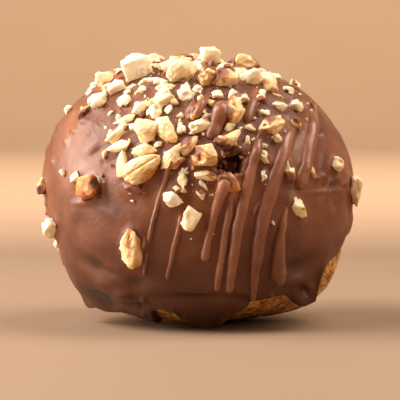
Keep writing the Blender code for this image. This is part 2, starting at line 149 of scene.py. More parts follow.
def through(share: np.ndarray, start: float, middle: float, end: float) -> np.ndarray:
    """Values on a smooth curve.

    Args:
        share: how far along the curve, from 0 to 1.
        start: the value that it has at 0.
        middle: the value at one half.
        end: the value at 1.

    Returns:
        A value for each share.
    """
    return (
        start * (1 - share) * (1 - 2 * share)
        + middle * 4 * share * (1 - share)
        + end * share * (2 * share - 1)
    )


def ring_faces(first: int, rows: int, around: int) -> list[tuple[int, int, int, int]]:
    """Quads between closed rings of points that follow one another.

    Args:
        first: the index of the first ring's first point.
        rows: how many rings there are.
        around: how many points each has.

    Returns:
        The quads as rows of four indices.
    """
    return [
        (start + k, start + around + k, start + around + (k + 1) % around, start + (k + 1) % around)
        for start in range(first, first + (rows - 1) * around, around)
        for k in range(around)
    ]


def closed_faces(rows: int, around: int) -> list[tuple[int, ...]]:
    """Faces of a closed form whose points are a top pole, rings downwards and a bottom pole.

    Args:
        rows: how many rings there are.
        around: how many points each has.

    Returns:
        Triangles at the poles and quads between them.
    """
    last, under = 1 + (rows - 1) * around, 1 + rows * around
    top = [(0, 1 + k, 1 + (k + 1) % around) for k in range(around)]
    bottom = [(last + k, under, last + (k + 1) % around) for k in range(around)]
    return top + ring_faces(1, rows, around) + bottom


def spokes(level: int) -> tuple[np.ndarray, np.ndarray]:
    """Directions and triangles of an evenly divided sphere.

    Args:
        level: 3 gives 320 triangles, and each further step four times as many.

    Returns:
        Unit vectors, and triangles as rows of three indices.
    """
    form = bmesh.new()
    bmesh.ops.create_icosphere(form, subdivisions=level, radius=1)
    ways = np.array([vertex.co[:] for vertex in form.verts])
    faces = np.array([[vertex.index for vertex in face.verts] for face in form.faces])
    form.free()
    return unit(ways), faces


def new_object(name: str, data: bpy.types.ID) -> bpy.types.Object:
    """Puts a new object at the origin of the scene.

    Args:
        name: the object's name.
        data: its mesh, light or camera.

    Returns:
        The new object.
    """
    made = bpy.data.objects.new(name, data)
    bpy.context.scene.collection.objects.link(made)
    return made


def mesh_object(
    name: str, points: np.ndarray, faces: Iterable, marks: dict[str, np.ndarray] | None = None
) -> bpy.types.Object:
    """Makes a smooth mesh object at the origin.

    Args:
        name: the object's name.
        points: corners in millimetres.
        faces: faces as rows of indices.
        marks: values for each corner, kept as attributes.

    Returns:
        The new object.
    """
    mesh = bpy.data.meshes.new(name)
    mesh.from_pydata((np.asarray(points) * MM).tolist(), [], [tuple(map(int, face)) for face in faces])
    for mark, values in (marks or {}).items():
        mesh.attributes.new(mark, "FLOAT", "POINT").data.foreach_set("value", np.asarray(values, float))
    mesh.shade_smooth()
    mesh.update()
    return new_object(name, mesh)


# --- helpers for node trees -----------------------------------------------------------------------


def linear(colour: Colour) -> tuple[float, float, float, float]:
    """A colour given from 0 to 255, as the renderer's linear values."""
    shares = (part / 255 for part in colour)
    return (*(s / 12.92 if s <= 0.04045 else ((s + 0.055) / 1.055) ** 2.4 for s in shares), 1.0)


def live_output(node: bpy.types.Node) -> bpy.types.NodeSocket:
    """The output that a node's settings leave in use."""
    return next(socket for socket in node.outputs if socket.enabled)


class Wiring:
    """A node tree that is being put together, and the values of its inputs by identifier."""

    def __init__(self, tree: bpy.types.NodeTree) -> None:
        """Starts from an empty tree.

        Args:
            tree: the tree, which loses the nodes that it has.
        """
        self.tree = tree
        self.values: dict[str, object] = {}
        tree.nodes.clear()

    def add(self, kind: str, inputs: dict | None = None, **settings: object) -> bpy.types.Node:
        """Adds a node.

        Args:
            kind: the node's type.
            inputs: a value or a socket for each input, by name or identifier.
            settings: the node's own settings.

        Returns:
            The new node.
        """
        node = self.tree.nodes.new(kind)
        for name, value in settings.items():
            setattr(node, name, value)
        for name, value in (inputs or {}).items():
            socket = next(s for s in node.inputs if s.enabled and name in (s.name, s.identifier))
            if isinstance(value, bpy.types.NodeSocket):
                self.tree.links.new(value, socket)
            else:
                socket.default_value = value
        return node

    def total(self, first: object, second: object) -> bpy.types.NodeSocket:
        """The sum of two values."""
        inputs = {"Value": first, "Value_001": second}
        return self.add("ShaderNodeMath", inputs, operation="ADD").outputs[0]

    def product(self, first: object, second: object) -> bpy.types.NodeSocket:
        """The product of two values."""
        inputs = {"Value": first, "Value_001": second}
        return self.add("ShaderNodeMath", inputs, operation="MULTIPLY").outputs[0]

    def noise(
        self, place: bpy.types.NodeSocket, size: float, detail: float = 3.0, rough: float = 0.5
    ) -> bpy.types.NodeSocket:
        """Smooth noise from 0 to 1.

        Args:
            place: where it is read.
            size: how far apart its lumps are in mm.
            detail: how many finer noises are laid over it.
            rough: how strong they are.

        Returns:
            The noise's value.
        """
        inputs = {"Vector": place, "Scale": 1 / (size * MM), "Detail": detail, "Roughness": rough}
        return self.add("ShaderNodeTexNoise", inputs).outputs[0]

    def cells(self, place: bpy.types.NodeSocket, size: float) -> bpy.types.NodeSocket:
        """Distance from the nearest of many scattered points that are a size in mm apart."""
        inputs = {"Vector": place, "Scale": 1 / (size * MM)}
        return self.add("ShaderNodeTexVoronoi", inputs).outputs[0]

    def spread(
        self,
        value: bpy.types.NodeSocket,
        low: float,
        high: float,
        to_low: float = 0.0,
        to_high: float = 1.0,
    ) -> bpy.types.NodeSocket:
        """A value carried over from one range to another, smoothly and within it.

        Args:
            value: what is carried over.
            low: the low end of its range.
            high: the high end.
            to_low: what the low end becomes.
            to_high: what the high end becomes.

        Returns:
            The new value.
        """
        inputs = {"Value": value, "From Min": low, "From Max": high, "To Min": to_low, "To Max": to_high}
        return self.add("ShaderNodeMapRange", inputs, interpolation_type="SMOOTHSTEP").outputs[0]

    def ramp(
        self, value: bpy.types.NodeSocket, stops: Sequence[tuple[float, Colour]]
    ) -> bpy.types.NodeSocket:
        """A colour for a value.

        Args:
            value: what picks the colour.
            stops: values from low to high, each with its colour.

        Returns:
            The colour, blended between the stops.
        """
        node = self.add("ShaderNodeValToRGB", {"Fac": value})
        band = node.color_ramp.elements
        for _ in range(len(stops) - 2):
            band.new(0.5)
        for stop, (place, colour) in zip(band, stops):
            stop.position = place
            stop.color = linear(colour)
        return node.outputs[0]

    def blend(self, share: object, first: object, second: object) -> bpy.types.NodeSocket:
        """A colour between two.

        Args:
            share: how much of the second there is, from 0 to 1.
            first: a socket, or a colour from 0 to 255.
            second: the same.

        Returns:
            The blended colour.
        """
        pair = {
            name: linear(colour) if isinstance(colour, tuple) else colour
            for name, colour in (("A_Color", first), ("B_Color", second))
        }
        return live_output(self.add("ShaderNodeMix", {"Factor_Float": share, **pair}, data_type="RGBA"))

    def chance(self, kind: str, low: object, high: object, seed: int) -> bpy.types.NodeSocket:
        """A random value for each point or instance, in Geometry Nodes.

        Args:
            kind: the type of value.
            low: the lowest that it can be.
            high: the highest.
            seed: picks one such row of values.

        Returns:
            The value.
        """
        inputs = {"Min": low, "Max": high, "Seed": seed}
        return live_output(self.add("FunctionNodeRandomValue", inputs, data_type=kind))

    def mark(self, name: str) -> bpy.types.NodeSocket:
        """The value of a mesh attribute, in a material."""
        return self.add("ShaderNodeAttribute", attribute_name=name).outputs["Fac"]

    def bump(
        self, height: bpy.types.NodeSocket, depth: float, strength: float, under: object = None
    ) -> bpy.types.NodeSocket:
        """A surface normal roughened by a height.

        Args:
            height: a value from 0 to 1 over the surface.
            depth: how many mm its full range stands for.
            strength: how much of it shows.
            under: a normal that it goes on top of.

        Returns:
            The new normal.
        """
        inputs = {"Height": height, "Distance": depth * MM, "Strength": strength}
        if under is not None:
            inputs["Normal"] = under
        return self.add("ShaderNodeBump", inputs).outputs[0]


def new_material(name: str) -> tuple[bpy.types.Material, Wiring, bpy.types.NodeSocket]:
    """Starts a material.

    Args:
        name: its name.

    Returns:
        The material, its tree, and the object's own coordinates in it.
    """
    material = bpy.data.materials.new(name)
    material.use_nodes = True
    wiring = Wiring(material.node_tree)
    return material, wiring, wiring.add("ShaderNodeTexCoord").outputs["Object"]


def finish_material(wiring: Wiring, inputs: dict) -> None:
    """Ends a material's tree in a shader with the inputs given."""
    shader = wiring.add("ShaderNodeBsdfPrincipled", inputs)
    wiring.add("ShaderNodeOutputMaterial", {"Surface": shader.outputs[0]})


def new_growth(name: str, sizes: dict[str, tuple[str, object]]) -> tuple[Wiring, bpy.types.Node]:
    """A Geometry Nodes tree with a geometry input and output.

    Args:
        name: the tree's name.
        sizes: socket type and value of each further input, by name.

    Returns:
        The tree's wiring, which keeps the inputs' values, and its input node.
    """
    tree = bpy.data.node_groups.new(name, "GeometryNodeTree")
    wiring = Wiring(tree)
    tree.interface.new_socket("Geometry", in_out="INPUT", socket_type="NodeSocketGeometry")
    for label, (kind, value) in sizes.items():
        socket = tree.interface.new_socket(label, in_out="INPUT", socket_type=f"NodeSocket{kind}")
        wiring.values[socket.identifier] = value
    tree.interface.new_socket("Geometry", in_out="OUTPUT", socket_type="NodeSocketGeometry")
    return wiring, wiring.add("NodeGroupInput")


def grown(
    wiring: Wiring,
    shape: bpy.types.NodeSocket,
    material: bpy.types.NodeSocket,
    host: bpy.types.Object,
    name: str,
) -> bpy.types.Object:
    """Ends a Geometry Nodes tree, runs it on a host and keeps the result as a plain mesh.

    Args:
        wiring: the tree, with the values of its inputs.
        shape: the geometry that it makes.
        material: the input that holds the material.
        host: what it grows on, which is then removed.
        name: the name of the piece.

    Returns:
        The finished piece.
    """
    real = wiring.add("GeometryNodeRealizeInstances", {"Geometry": shape})
    smooth = wiring.add("GeometryNodeSetShadeSmooth", {"Geometry": real.outputs[0]})
    dressed = wiring.add("GeometryNodeSetMaterial", {"Geometry": smooth.outputs[0], "Material": material})
    wiring.add("NodeGroupOutput", {"Geometry": dressed.outputs[0]})
    modifier = host.modifiers.new(wiring.tree.name, "NODES")
    modifier.node_group = wiring.tree
    for identifier, value in wiring.values.items():
        modifier[identifier] = value
    ready = host.evaluated_get(bpy.context.evaluated_depsgraph_get())
    mesh = bpy.data.meshes.new_from_object(ready)
    bpy.data.objects.remove(host)
    return new_object(name, mesh)


# --- finishes -------------------------------------------------------------------------------------


@dataclass(frozen=True)
class Chocolate:
    """Set milk chocolate: satin, with soft clouds of colour, orange peel, pinholes and nut dust.

    Painted shade darkens its colour towards the table, over a set height in mm, to a set share of the shade
    colour at the table.
    Dull and bright are the roughness of its dullest and glossiest stretches. Sizes of its patterns
    are in mm.
    """

    name: str = "milk_chocolate"
    deep: Colour = (98, 54, 32)
    middle: Colour = (122, 71, 45)
    pale: Colour = (146, 91, 60)
    # Painted shade for the pit and for dents in the coat.
    painted_hollow_shade: Colour = (30, 12, 8)
    # Painted shade towards the table: its colour, the height that it fades over, and its share at the
    # table.
    painted_low_shade: Colour = (58, 28, 17)
    painted_shade_height: float = 28.0
    painted_shade_at_table: float = 0.74
    dull: float = 0.46
    bright: float = 0.32
    smear: float = 3.0
    ior: float = 1.40
    cloud: float = 9.0
    peel: float = 0.9
    grain: float = 0.22
    pinhole: float = 2.6
    rubble: float = 0.8
    dust: float = 0.5
    dusty: Colour = (204, 156, 112)

    def material(self) -> bpy.types.Material:
        """Makes the finish, with painted shade where the coat marks the pit and its dents, and nut dust
        strewn where the mark heaped is.

        Returns:
            The material.
        """
        material, wire, place = new_material(self.name)
        cloud = wire.noise(place, self.cloud, 4, 0.55)
        tint = wire.ramp(cloud, ((0.3, self.deep), (0.5, self.middle), (0.72, self.pale)))
        height = wire.add("ShaderNodeSeparateXYZ", {"Vector": place}).outputs["Z"]
        # Painted shade: the colour is darkened towards the table.
        low = wire.spread(height, 0.0, self.painted_shade_height * MM, self.painted_shade_at_table, 0.0)
        tint = wire.blend(low, tint, self.painted_low_shade)
        # Painted shade: the pit and the dents are darkened.
        colour = wire.blend(wire.spread(wire.mark("hollow_and_painted_shade"), 0.1, 0.8), tint, self.painted_hollow_shade)
        heaped = wire.mark("heaped")
        dust = wire.spread(wire.noise(place, self.dust, 2), 0.62, 0.70)
        colour = wire.blend(wire.product(dust, wire.product(heaped, 0.75)), colour, self.dusty)
        rubble = wire.bump(wire.product(wire.noise(place, self.rubble, 5, 0.65), heaped), 0.7, 0.8)
        peel = wire.noise(place, self.peel, 2)
        grain = wire.noise(place, self.grain, 2)
        pinholes = wire.spread(wire.cells(place, self.pinhole), 0.03, 0.10)
        relief = wire.product(wire.total(peel, wire.product(grain, 0.25)), pinholes)
        gloss = wire.spread(wire.noise(place, self.smear), 0.3, 0.7, self.bright, self.dull)
        finish_material(wire, {
            "Base Color": colour,
            "Roughness": gloss,
            "IOR": self.ior,
            "Subsurface Weight": 0.06,
            "Subsurface Radius": (1.0, 0.45, 0.3),
            "Subsurface Scale": 0.6 * MM,
            "Normal": wire.bump(relief, 0.12, 0.5, rubble),
        })
        return material


# The chocolate of the strands is paler and glossier than the coat's, and gets less painted shade towards
# the table.
DRIZZLED = Chocolate(
    "drizzle_chocolate", (120, 72, 49), (146, 92, 65), (168, 112, 81),
    painted_shade_at_table=0.3, dull=0.36, bright=0.24, ior=1.46,
)


@dataclass(frozen=True)
class NutFlesh:
    """Chopped nut: cream where fresh, gold to orange where roasted and where shade is painted on, filmed
    with chocolate in places.

    Stops are the colours from fresh to burnt, and stain is that of the edge of a film. Sizes of its
    patterns are in mm.
    """

    name: str = "chopped_nut"
    stops: tuple[tuple[float, Colour], ...] = (
        (0.0, (250, 235, 206)),
        (0.3, (245, 220, 175)),
        (0.55, (231, 188, 124)),
        (0.75, (206, 140, 66)),
        (0.9, (170, 92, 32)),
        (1.0, (104, 50, 24)),
    )
    stain: Colour = (190, 122, 66)
    film: Colour = (134, 80, 56)
    fleck: float = 1.3
    grit: float = 0.3

    def material(self) -> bpy.types.Material:
        """Makes the finish, with the mark tone for how roasted a nut is plus its painted shade, and the
        mark film for how filmed it is.

        Returns:
            The material.
        """
        material, wire, place = new_material(self.name)
        fleck = wire.noise(place, self.fleck, 4, 0.6)
        tone = wire.total(wire.mark("tone"), wire.spread(fleck, 0.25, 0.75, -0.14, 0.14))
        grit = wire.noise(place, self.grit, 3, 0.6)
        filmed = wire.spread(wire.total(wire.mark("film"), wire.product(fleck, 0.3)), 0.46, 0.78)
        stained = wire.blend(wire.spread(filmed, 0, 0.5), wire.ramp(tone, self.stops), self.stain)
        colour = wire.blend(wire.spread(filmed, 0.4, 1), stained, self.film)
        finish_material(wire, {
            "Base Color": colour,
            "Roughness": wire.spread(filmed, 0, 1, 0.55, 0.4),
            "IOR": 1.45,
            "Subsurface Weight": 0.3,
            "Subsurface Radius": (1.0, 0.62, 0.3),
            "Subsurface Scale": 1.1 * MM,
            "Normal": wire.bump(grit, 0.10, 0.55, wire.bump(fleck, 0.25, 0.4)),
        })
        return material


@dataclass(frozen=True)
class FriedDough:
    """Fried dough: golden brown and mottled, finely wrinkled, with a little oil on it."""

    name: str = "fried_dough"
    dark: Colour = (124, 60, 14)
    brown: Colour = (184, 108, 34)
    gold: Colour = (220, 156, 62)
    pale: Colour = (244, 206, 124)
    mottle: float = 2.6
    speck: float = 0.8
    wrinkle: float = 0.7
    pore: float = 1.4

    def material(self) -> bpy.types.Material:
        """Makes the finish.

        Returns:
            The material.
        """
        material, wire, place = new_material(self.name)
        mottle = wire.noise(place, self.mottle, 6, 0.62)
        speck = wire.spread(wire.noise(place, self.speck, 3, 0.6), 0.3, 0.7, -0.14, 0.14)
        mottle = wire.total(mottle, speck)
        stops = ((0.34, self.dark), (0.45, self.brown), (0.55, self.gold), (0.68, self.pale))
        wrinkle = wire.noise(place, self.wrinkle, 4, 0.6)
        pores = wire.spread(wire.cells(place, self.pore), 0.05, 0.3)
        finish_material(wire, {
            "Base Color": wire.ramp(mottle, stops),
            "Roughness": wire.spread(wrinkle, 0.3, 0.7, 0.26, 0.55),
            "IOR": 1.45,
            "Subsurface Weight": 0.1,
            "Subsurface Radius": (1.0, 0.5, 0.2),
            "Subsurface Scale": 0.8 * MM,
            "Normal": wire.bump(wrinkle, 0.5, 0.9, wire.bump(pores, 0.3, 0.7)),
        })
        return material


@dataclass(frozen=True)
class Backdrop:
    """The studio's plain pale surface."""

    name: str = "pale_backdrop"
    colour: Colour = (146, 118, 93)
    deeper: Colour = (142, 114, 89)
    cloud: float = 60.0

    def material(self) -> bpy.types.Material:
        """Makes the finish.

        Returns:
            The material.
        """
        material, wire, place = new_material(self.name)
        tint = wire.blend(wire.noise(place, self.cloud, 2), self.colour, self.deeper)
        finish_material(wire, {"Base Color": tint, "Roughness": 0.7})
        return material


# --- the ball of dough ----------------------------------------------------------------------------


@dataclass(frozen=True)
class Ball:
    """The form under everything: a rounded ball about its waist, with lumps and hollows.

    Lumps are azimuth and elevation in degrees, height in mm and spread in degrees. Azimuth 0 is the
    right-hand side (+X), -90 the front and 90 the back. Nudge is how far to each side of a point its
    slope is read, and halvings say how closely a line of sight is followed to the skin.
    """

    waist: float = 25.0
    half_width: float = 29.4
    half_depth: float = 28.8
    rise: float = 25.1
    drop: float = 25.5
    crown_power: float = 2.23
    sole_power: float = 2.6
    lumps: tuple[tuple[float, float, float, float], ...] = (
        (180, 30, 1.1, 20), (180, 0, 0.7, 14), (180, 68, 0.7, 16), (180, -20, -2.5, 16),
        (-142, -56, -1.6, 13), (0, 30, -0.5, 16), (0, -14, -0.9, 12), (-5, -40, 0.9, 18),
        (-35, -62, -1.4, 15), (80, 18, 1.0, 24), (62, -32, -0.8, 18), (125, 48, -0.7, 20),
    )
    nudge: float = 0.02
    halvings: int = 40

    @property
    def middle(self) -> np.ndarray:
        """The middle of the waist."""
        return np.array((0, 0, self.waist))

    def radius(self, ways: np.ndarray) -> np.ndarray:
        """How far the skin is from the middle.

        Args:
            ways: unit vectors from the middle.

        Returns:
            A distance for each.
        """
        upper = ways[..., 2] > 0
        level = np.abs(ways[..., 2]) / np.where(upper, self.rise, self.drop)
        power = np.where(upper, self.crown_power, self.sole_power)
        girth = np.hypot(ways[..., 0] / self.half_width, ways[..., 1] / self.half_depth)
        reach = (girth**power + level**power) ** (-1 / power)
        for azimuth, elevation, height, spread in self.lumps:
            axis = directions(np.radians(azimuth), np.radians(90 - elevation))
            angle = np.arccos(np.clip(ways @ axis, -1, 1))
            reach = reach + height * np.exp(-((angle / math.radians(spread)) ** 2))
        return reach

    def skin(self, ways: np.ndarray, offset: np.ndarray | float) -> np.ndarray:
        """Points at a distance offset outside the skin."""
        return self.middle + ways * (self.radius(ways) + offset)[..., None]

    def facing(self, ways: np.ndarray, offset: float) -> tuple[np.ndarray, np.ndarray]:
        """The skin moved outwards.

        Args:
            ways: unit vectors from the middle.
            offset: how far it is moved.

        Returns:
            A point for each, and the outward normal there.
        """
        here = self.skin(ways, offset)
        steep = np.abs(ways[..., 2:]) > 0.9
        side = unit(np.cross(ways, np.where(steep, (1.0, 0, 0), (0, 0, 1.0))))
        first = self.skin(unit(ways + side * self.nudge), offset) - here
        second = self.skin(unit(ways + np.cross(ways, side) * self.nudge), offset) - here
        return here, unit(np.cross(first, second))

    def sighted(
        self, across: np.ndarray, up: np.ndarray, side: int = 1, above: np.ndarray | float = 0.0
    ) -> np.ndarray:
        """Where lines of sight meet the coat.

        Args:
            across: places to the right on an upright sheet through the middle.
            up: their heights.
            side: 1 for the eye in front, -1 for one behind.
            above: a level above the coat to meet instead.

        Returns:
            Unit vectors from the middle. A line that passes outside gives the place nearest to it.
        """
        fore = np.array((0, -side * math.cos(EYE_ELEVATION), math.sin(EYE_ELEVATION)))
        upright = np.array((0, side * math.sin(EYE_ELEVATION), math.cos(EYE_ELEVATION)))
        eye = fore * EYE_DISTANCE
        across, up = np.atleast_1d(across).astype(float), np.atleast_1d(up).astype(float)
        aim = across[:, None] * (1.0, 0, 0) + (up - self.waist)[:, None] * upright
        line = unit(aim - eye)
        nearest = eye - line * (line @ eye)[:, None]
        near, far = np.linalg.norm(eye - nearest, axis=1), np.zeros(len(across))
        skin = COAT_OFFSET + above
        for _ in range(self.halvings):
            half = (near + far) / 2
            arm = nearest - line * half[:, None]
            outside = np.linalg.norm(arm, axis=1) > self.radius(unit(arm)) + skin
            near, far = np.where(outside, half, near), np.where(outside, far, half)
        missed = np.linalg.norm(nearest, axis=1) > self.radius(unit(nearest)) + skin
        return unit(nearest - line * np.where(missed, 0, near)[:, None])


BALL = Ball()


@dataclass(frozen=True)
class Pit:
    """The small hole in the front of the coat, seen among the nuts.

    Wide and ragged say how its edge strays from a circle. The edge starts at a share of the radius
    and fades out over another.
    """

    across: float = 6.4
    up: float = 31.4
    radius: float = 2.0
    depth: float = 3.4
    lining: float = 1.0
    wide: float = 1.18
    ragged: Layers = ((0.5, 1.6, 4), (0.3, 0.7, 5))
    edge: float = 0.7
    fade: float = 0.5

    @property
    def way(self) -> np.ndarray:
        """Where it is, seen from the middle of the ball."""
        return BALL.sighted(self.across, self.up)[0]

    def share(self, points: np.ndarray, wider: float = 0.0) -> np.ndarray:
        """How deep it is at points.

        Args:
            points: places on the coat, one to a row.
            wider: how much is added to its radius.

        Returns:
            A share for each point, from 0 outside to 1 at its floor.
        """
        place, normal = BALL.facing(self.way[None], COAT_OFFSET)
        arm = points - place[0]
        beside = np.linalg.norm(arm - np.outer(arm @ normal[0], normal[0]), axis=1)
        there = (arm @ self.way) > -BALL.waist
        ragged = layered(points, self.ragged, self.wide)
        outwards = (beside / (self.radius + wider) / ragged - self.edge) / self.fade
        return np.where(there, 1 - eased(outwards), 0)


PIT = Pit()


@dataclass
class Dough:
    """The fried ball, flat where it rests. Only its lower part shows, so its rows are finest there.

    The rows are finer from an angle of shown_from degrees down from straight up, and the crust
    starts some degrees before that. Its lumps and its wrinkles are heights and sizes in mm.
    """

    around: int = 300
    hidden_rows: int = 26
    shown_rows: int = 84
    shown_from: float = 92.0
    crust_before: float = 4.0
    crust: float = 0.35
    crust_size: float = 4.5
    wrinkle: float = 0.12
    wrinkle_size: float = 1.7

    def polars(self) -> np.ndarray:
        """Where the rows of points are.

        Returns:
            Their angles down from straight up, in radians.
        """
        start = math.radians(self.shown_from)
        hidden = np.linspace(0, start, self.hidden_rows + 1)[1:]
        return np.concatenate((hidden, np.linspace(start, math.pi, self.shown_rows + 1)[1:-1]))

    def build(self) -> bpy.types.Object:
        """Makes the ball as a closed mesh.

        Returns:
            The finished piece.
        """
        azimuths = np.linspace(0, math.tau, self.around, endpoint=False)
        polars = self.polars()
        ways = directions(azimuths[None, :], polars[:, None]).reshape(-1, 3)
        points = BALL.skin(ways, 0.0)
        shown = np.degrees(np.repeat(polars, self.around)) > self.shown_from - self.crust_before
        relief = np.zeros(len(points))
        relief[shown] = self.crust * lumpy(points[shown], self.crust_size, 1) + self.wrinkle * (
            1 - 2 * np.abs(lumpy(points[shown], self.wrinkle_size, 2))
        )
        relief -= (PIT.depth + PIT.lining) * PIT.share(points, PIT.lining + COAT_GAP)
        points += ways * relief[:, None]
        points[:, 2] = np.maximum(points[:, 2], 0)
        ends = np.array((BALL.skin(np.array((0, 0, 1.0)), 0.0), (0, 0, 0)))
        faces = closed_faces(len(polars), self.around)
        return mesh_object("fried_dough", np.vstack((ends[:1], points, ends[1:])), faces)


# --- nuts -----------------------------------------------------------------------------------------


class Cut(Enum):
    """How a piece of nut was broken: its facets, how crisp they are, bites out of it and its bend."""

    CHIP = (9, 18.0, 2, 0.0)
    BLOCK = (5, 20.0, 2, 0.0)
    SHARD = (8, 20.0, 3, 0.10)
    HALF = (0, 2.0, 0, 0.16)
    KERNEL = (12, 9.0, 1, 0.38)


@dataclass(frozen=True)
class Nut:
    """A nut that stands out: where it is seen, its size in mm, its turn in degrees and its looks.

    Tone goes from 0, cream, to 1, burnt, and a further amount makes its upper right browner. Film goes
    from 0, bare, to 1, covered in chocolate. Stands is the height above the coat of one that is seen
    at the edge.
    """

    across: float
    up: float
    length: float
    width: float
    turn: float
    cut: Cut = Cut.CHIP
    tone: float = 0.2
    film: float = 0.0
    stands: float | None = None
    upper_darkening: float = 0.0


C, B, S, H, K = Cut.CHIP, Cut.BLOCK, Cut.SHARD, Cut.HALF, Cut.KERNEL

NUTS = (
    # crown
    Nut(-19.4, 48.7, 4.2, 3.3, 20, C, 0.32, 0.0, 3.2),
    Nut(-16.9, 46.7, 3.6, 3.1, 10, B, 0.12),
    Nut(-20.0, 44.5, 4.4, 3.8, 50, C, 0.22),
    Nut(-12.9, 50.8, 5.9, 4.9, 10, B, -0.12, 0.0, 4.5),
    Nut(-13.4, 46.9, 2.4, 1.7, 20, S, 0.16),
    Nut(-10.8, 47.9, 3.4, 2.2, 5, S, 0.2),
    Nut(-3.4, 50.3, 7.4, 4.2, 50, K, 0.24, 0.0, 4.6),
    Nut(2.0, 53.0, 4.0, 3.6, 20, B, 0.24, 0.0, 3.4),
    Nut(1.9, 49.1, 4.6, 3.4, 30, S, 0.54, 0.22, 3.3),
    Nut(5.2, 48.5, 4.8, 3.9, -20, C, 0.24, 0.3, 3.6),
    Nut(9.9, 51.7, 5.0, 3.2, -10, C, 0.55, 0.2, 2.9),
    Nut(10.8, 48.9, 4.2, 3.3, 40, K, 0.18, 0.0, 3.4),
    Nut(14.2, 47.7, 5.4, 3.2, -55, S, 0.38, 0.0, 3.0),
    Nut(19.0, 47.3, 2.9, 2.3, -35, C, 0.12, 0.1, 1.8),
    # upper left
    Nut(-7.0, 46.8, 4.2, 2.6, 0, C, 0.34),
    Nut(-7.4, 44.6, 4.1, 3.5, 40, B, 0.30),
    Nut(-3.1, 45.3, 3.9, 3.0, -20, K, 0.14),
    Nut(-12.2, 43.0, 4.2, 3.2, 60, S, 0.18),
    Nut(-8.8, 42.2, 4.1, 3.3, 45, C, 0.22),
    Nut(-6.3, 42.2, 2.6, 1.8, 80, S, 0.14),
    Nut(3.5, 45.2, 2.2, 1.8, 10, B, 0.16),
    Nut(1.5, 40.9, 2.4, 1.7, 20, S, 0.12, 0.1),
    Nut(-3.7, 38.1, 1.9, 1.6, 5, B, 0.18),
    Nut(-15.2, 40.1, 5.2, 2.0, 10, S, 0.24),
    Nut(-11.1, 38.2, 5.6, 5.0, -20, K, 0.36),
    Nut(-7.1, 38.2, 6.4, 3.7, -70, K, 0.42),
    Nut(-16.6, 37.6, 5.8, 2.8, 25, S, 0.28),
    Nut(-16.4, 35.0, 5.3, 2.9, 10, S, 0.2),
    Nut(-11.0, 34.2, 5.0, 2.9, -15, C, 0.46),
    Nut(-15.7, 31.3, 5.4, 2.6, 80, K, 0.36),
    Nut(-11.8, 30.5, 8.4, 5.0, 25, H, 0.5),
    Nut(-13.7, 26.8, 4.8, 2.9, -5, C, 0.9, 1.0),
    # upper right
    Nut(8.2, 44.6, 3.1, 2.7, 30, B, 0.18, 0.3),
    Nut(12.4, 44.7, 3.2, 2.5, 80, C, 0.24, 0.4),
    Nut(15.6, 45.0, 3.0, 1.5, 5, S, 0.55, 0.2),
    Nut(16.2, 43.1, 3.4, 2.7, 20, C, 0.16, 0.2),
    Nut(12.5, 41.7, 2.1, 1.5, 15, S, 0.14, 0.1),
    Nut(19.6, 43.1, 4.4, 2.9, 50, S, 0.18),
    Nut(22.1, 43.2, 2.4, 1.8, 30, C, 0.6, 0.5),
    Nut(6.7, 42.1, 5.0, 4.3, 60, B, 0.42, 0.24),
    Nut(-1.1, 42.3, 5.0, 3.3, 70, C, 0.66, 0.6),
    Nut(14.6, 39.2, 6.8, 3.9, 45, C, 0.44, 0.12),
    Nut(19.5, 39.9, 3.1, 2.6, -30, C, 0.42, 0.4),
    Nut(0.0, 39.1, 4.3, 3.0, 30, C, 0.18, 0.1),
    # round the pit
    Nut(-2.3, 35.4, 4.6, 3.1, 40, S, 0.34, 0.35),
    Nut(-5.3, 32.7, 6.2, 3.9, 60, S, 0.42, 0.1),
    Nut(0.9, 32.9, 5.9, 5.2, 60, C, 0.5, 0.2),
    Nut(5.7, 36.4, 5.8, 3.0, 25, K, 0.42, 0.3),
    Nut(6.0, 34.2, 4.0, 1.9, 5, C, 0.66, 0.3),
    Nut(1.3, 29.1, 4.8, 2.1, -5, S, 0.28, 0.2),
    Nut(0.6, 27.1, 2.8, 1.3, -60, S, 0.2),
    Nut(-3.3, 29.9, 2.2, 1.6, 20, S, 0.16),
    Nut(-3.5, 28.2, 4.1, 2.0, 100, S, 0.16),
    Nut(5.7, 27.5, 4.4, 3.6, -65, B, 0.6, 0.4),
    Nut(13.1, 32.8, 3.4, 2.2, -40, S, 0.2, 0.2),
    Nut(12.9, 29.0, 2.3, 1.5, 90, S, 0.14),
    # strays
    Nut(-5.5, 24.2, 4.3, 3.1, -15, C, 0.2),
    Nut(-2.0, 20.2, 4.3, 3.5, 60, B, 0.22),
    Nut(-13.9, 14.5, 7.2, 5.2, 80, S, 0.45),
    Nut(-22.5, 26.7, 5.2, 4.6, 10, B, 0.86, upper_darkening=0.1),
    Nut(-25.1, 28.6, 3.0, 1.9, 40, S, 0.2),
    Nut(-23.2, 41.8, 3.9, 2.6, 30, C, 0.66, 0.6),
    Nut(-31.8, 26.9, 3.4, 2.6, 70, C, 0.7, 0.4, 2.0),
    Nut(-30.2, 18.4, 4.6, 3.6, 60, C, 0.26, 0.0, 2.6),
    Nut(-29.0, 14.8, 3.0, 2.2, -70, C, 0.4, 0.3, 1.6),
    Nut(-27.9, 12.4, 3.4, 1.8, -70, C, 0.7, 1.0, 1.0),
    Nut(27.7, 31.4, 3.5, 3.2, 20, K, 0.24),
    Nut(31.4, 25.9, 6.3, 3.2, -75, C, 0.26, 0.0, 2.5),
    Nut(19.8, 22.4, 4.9, 2.9, -60, S, 0.2),
    Nut(18.2, 30.1, 4.3, 2.6, 90, S, 0.24, 0.3),
    Nut(22.3, 29.9, 3.6, 2.2, -50, S, 0.46),
)

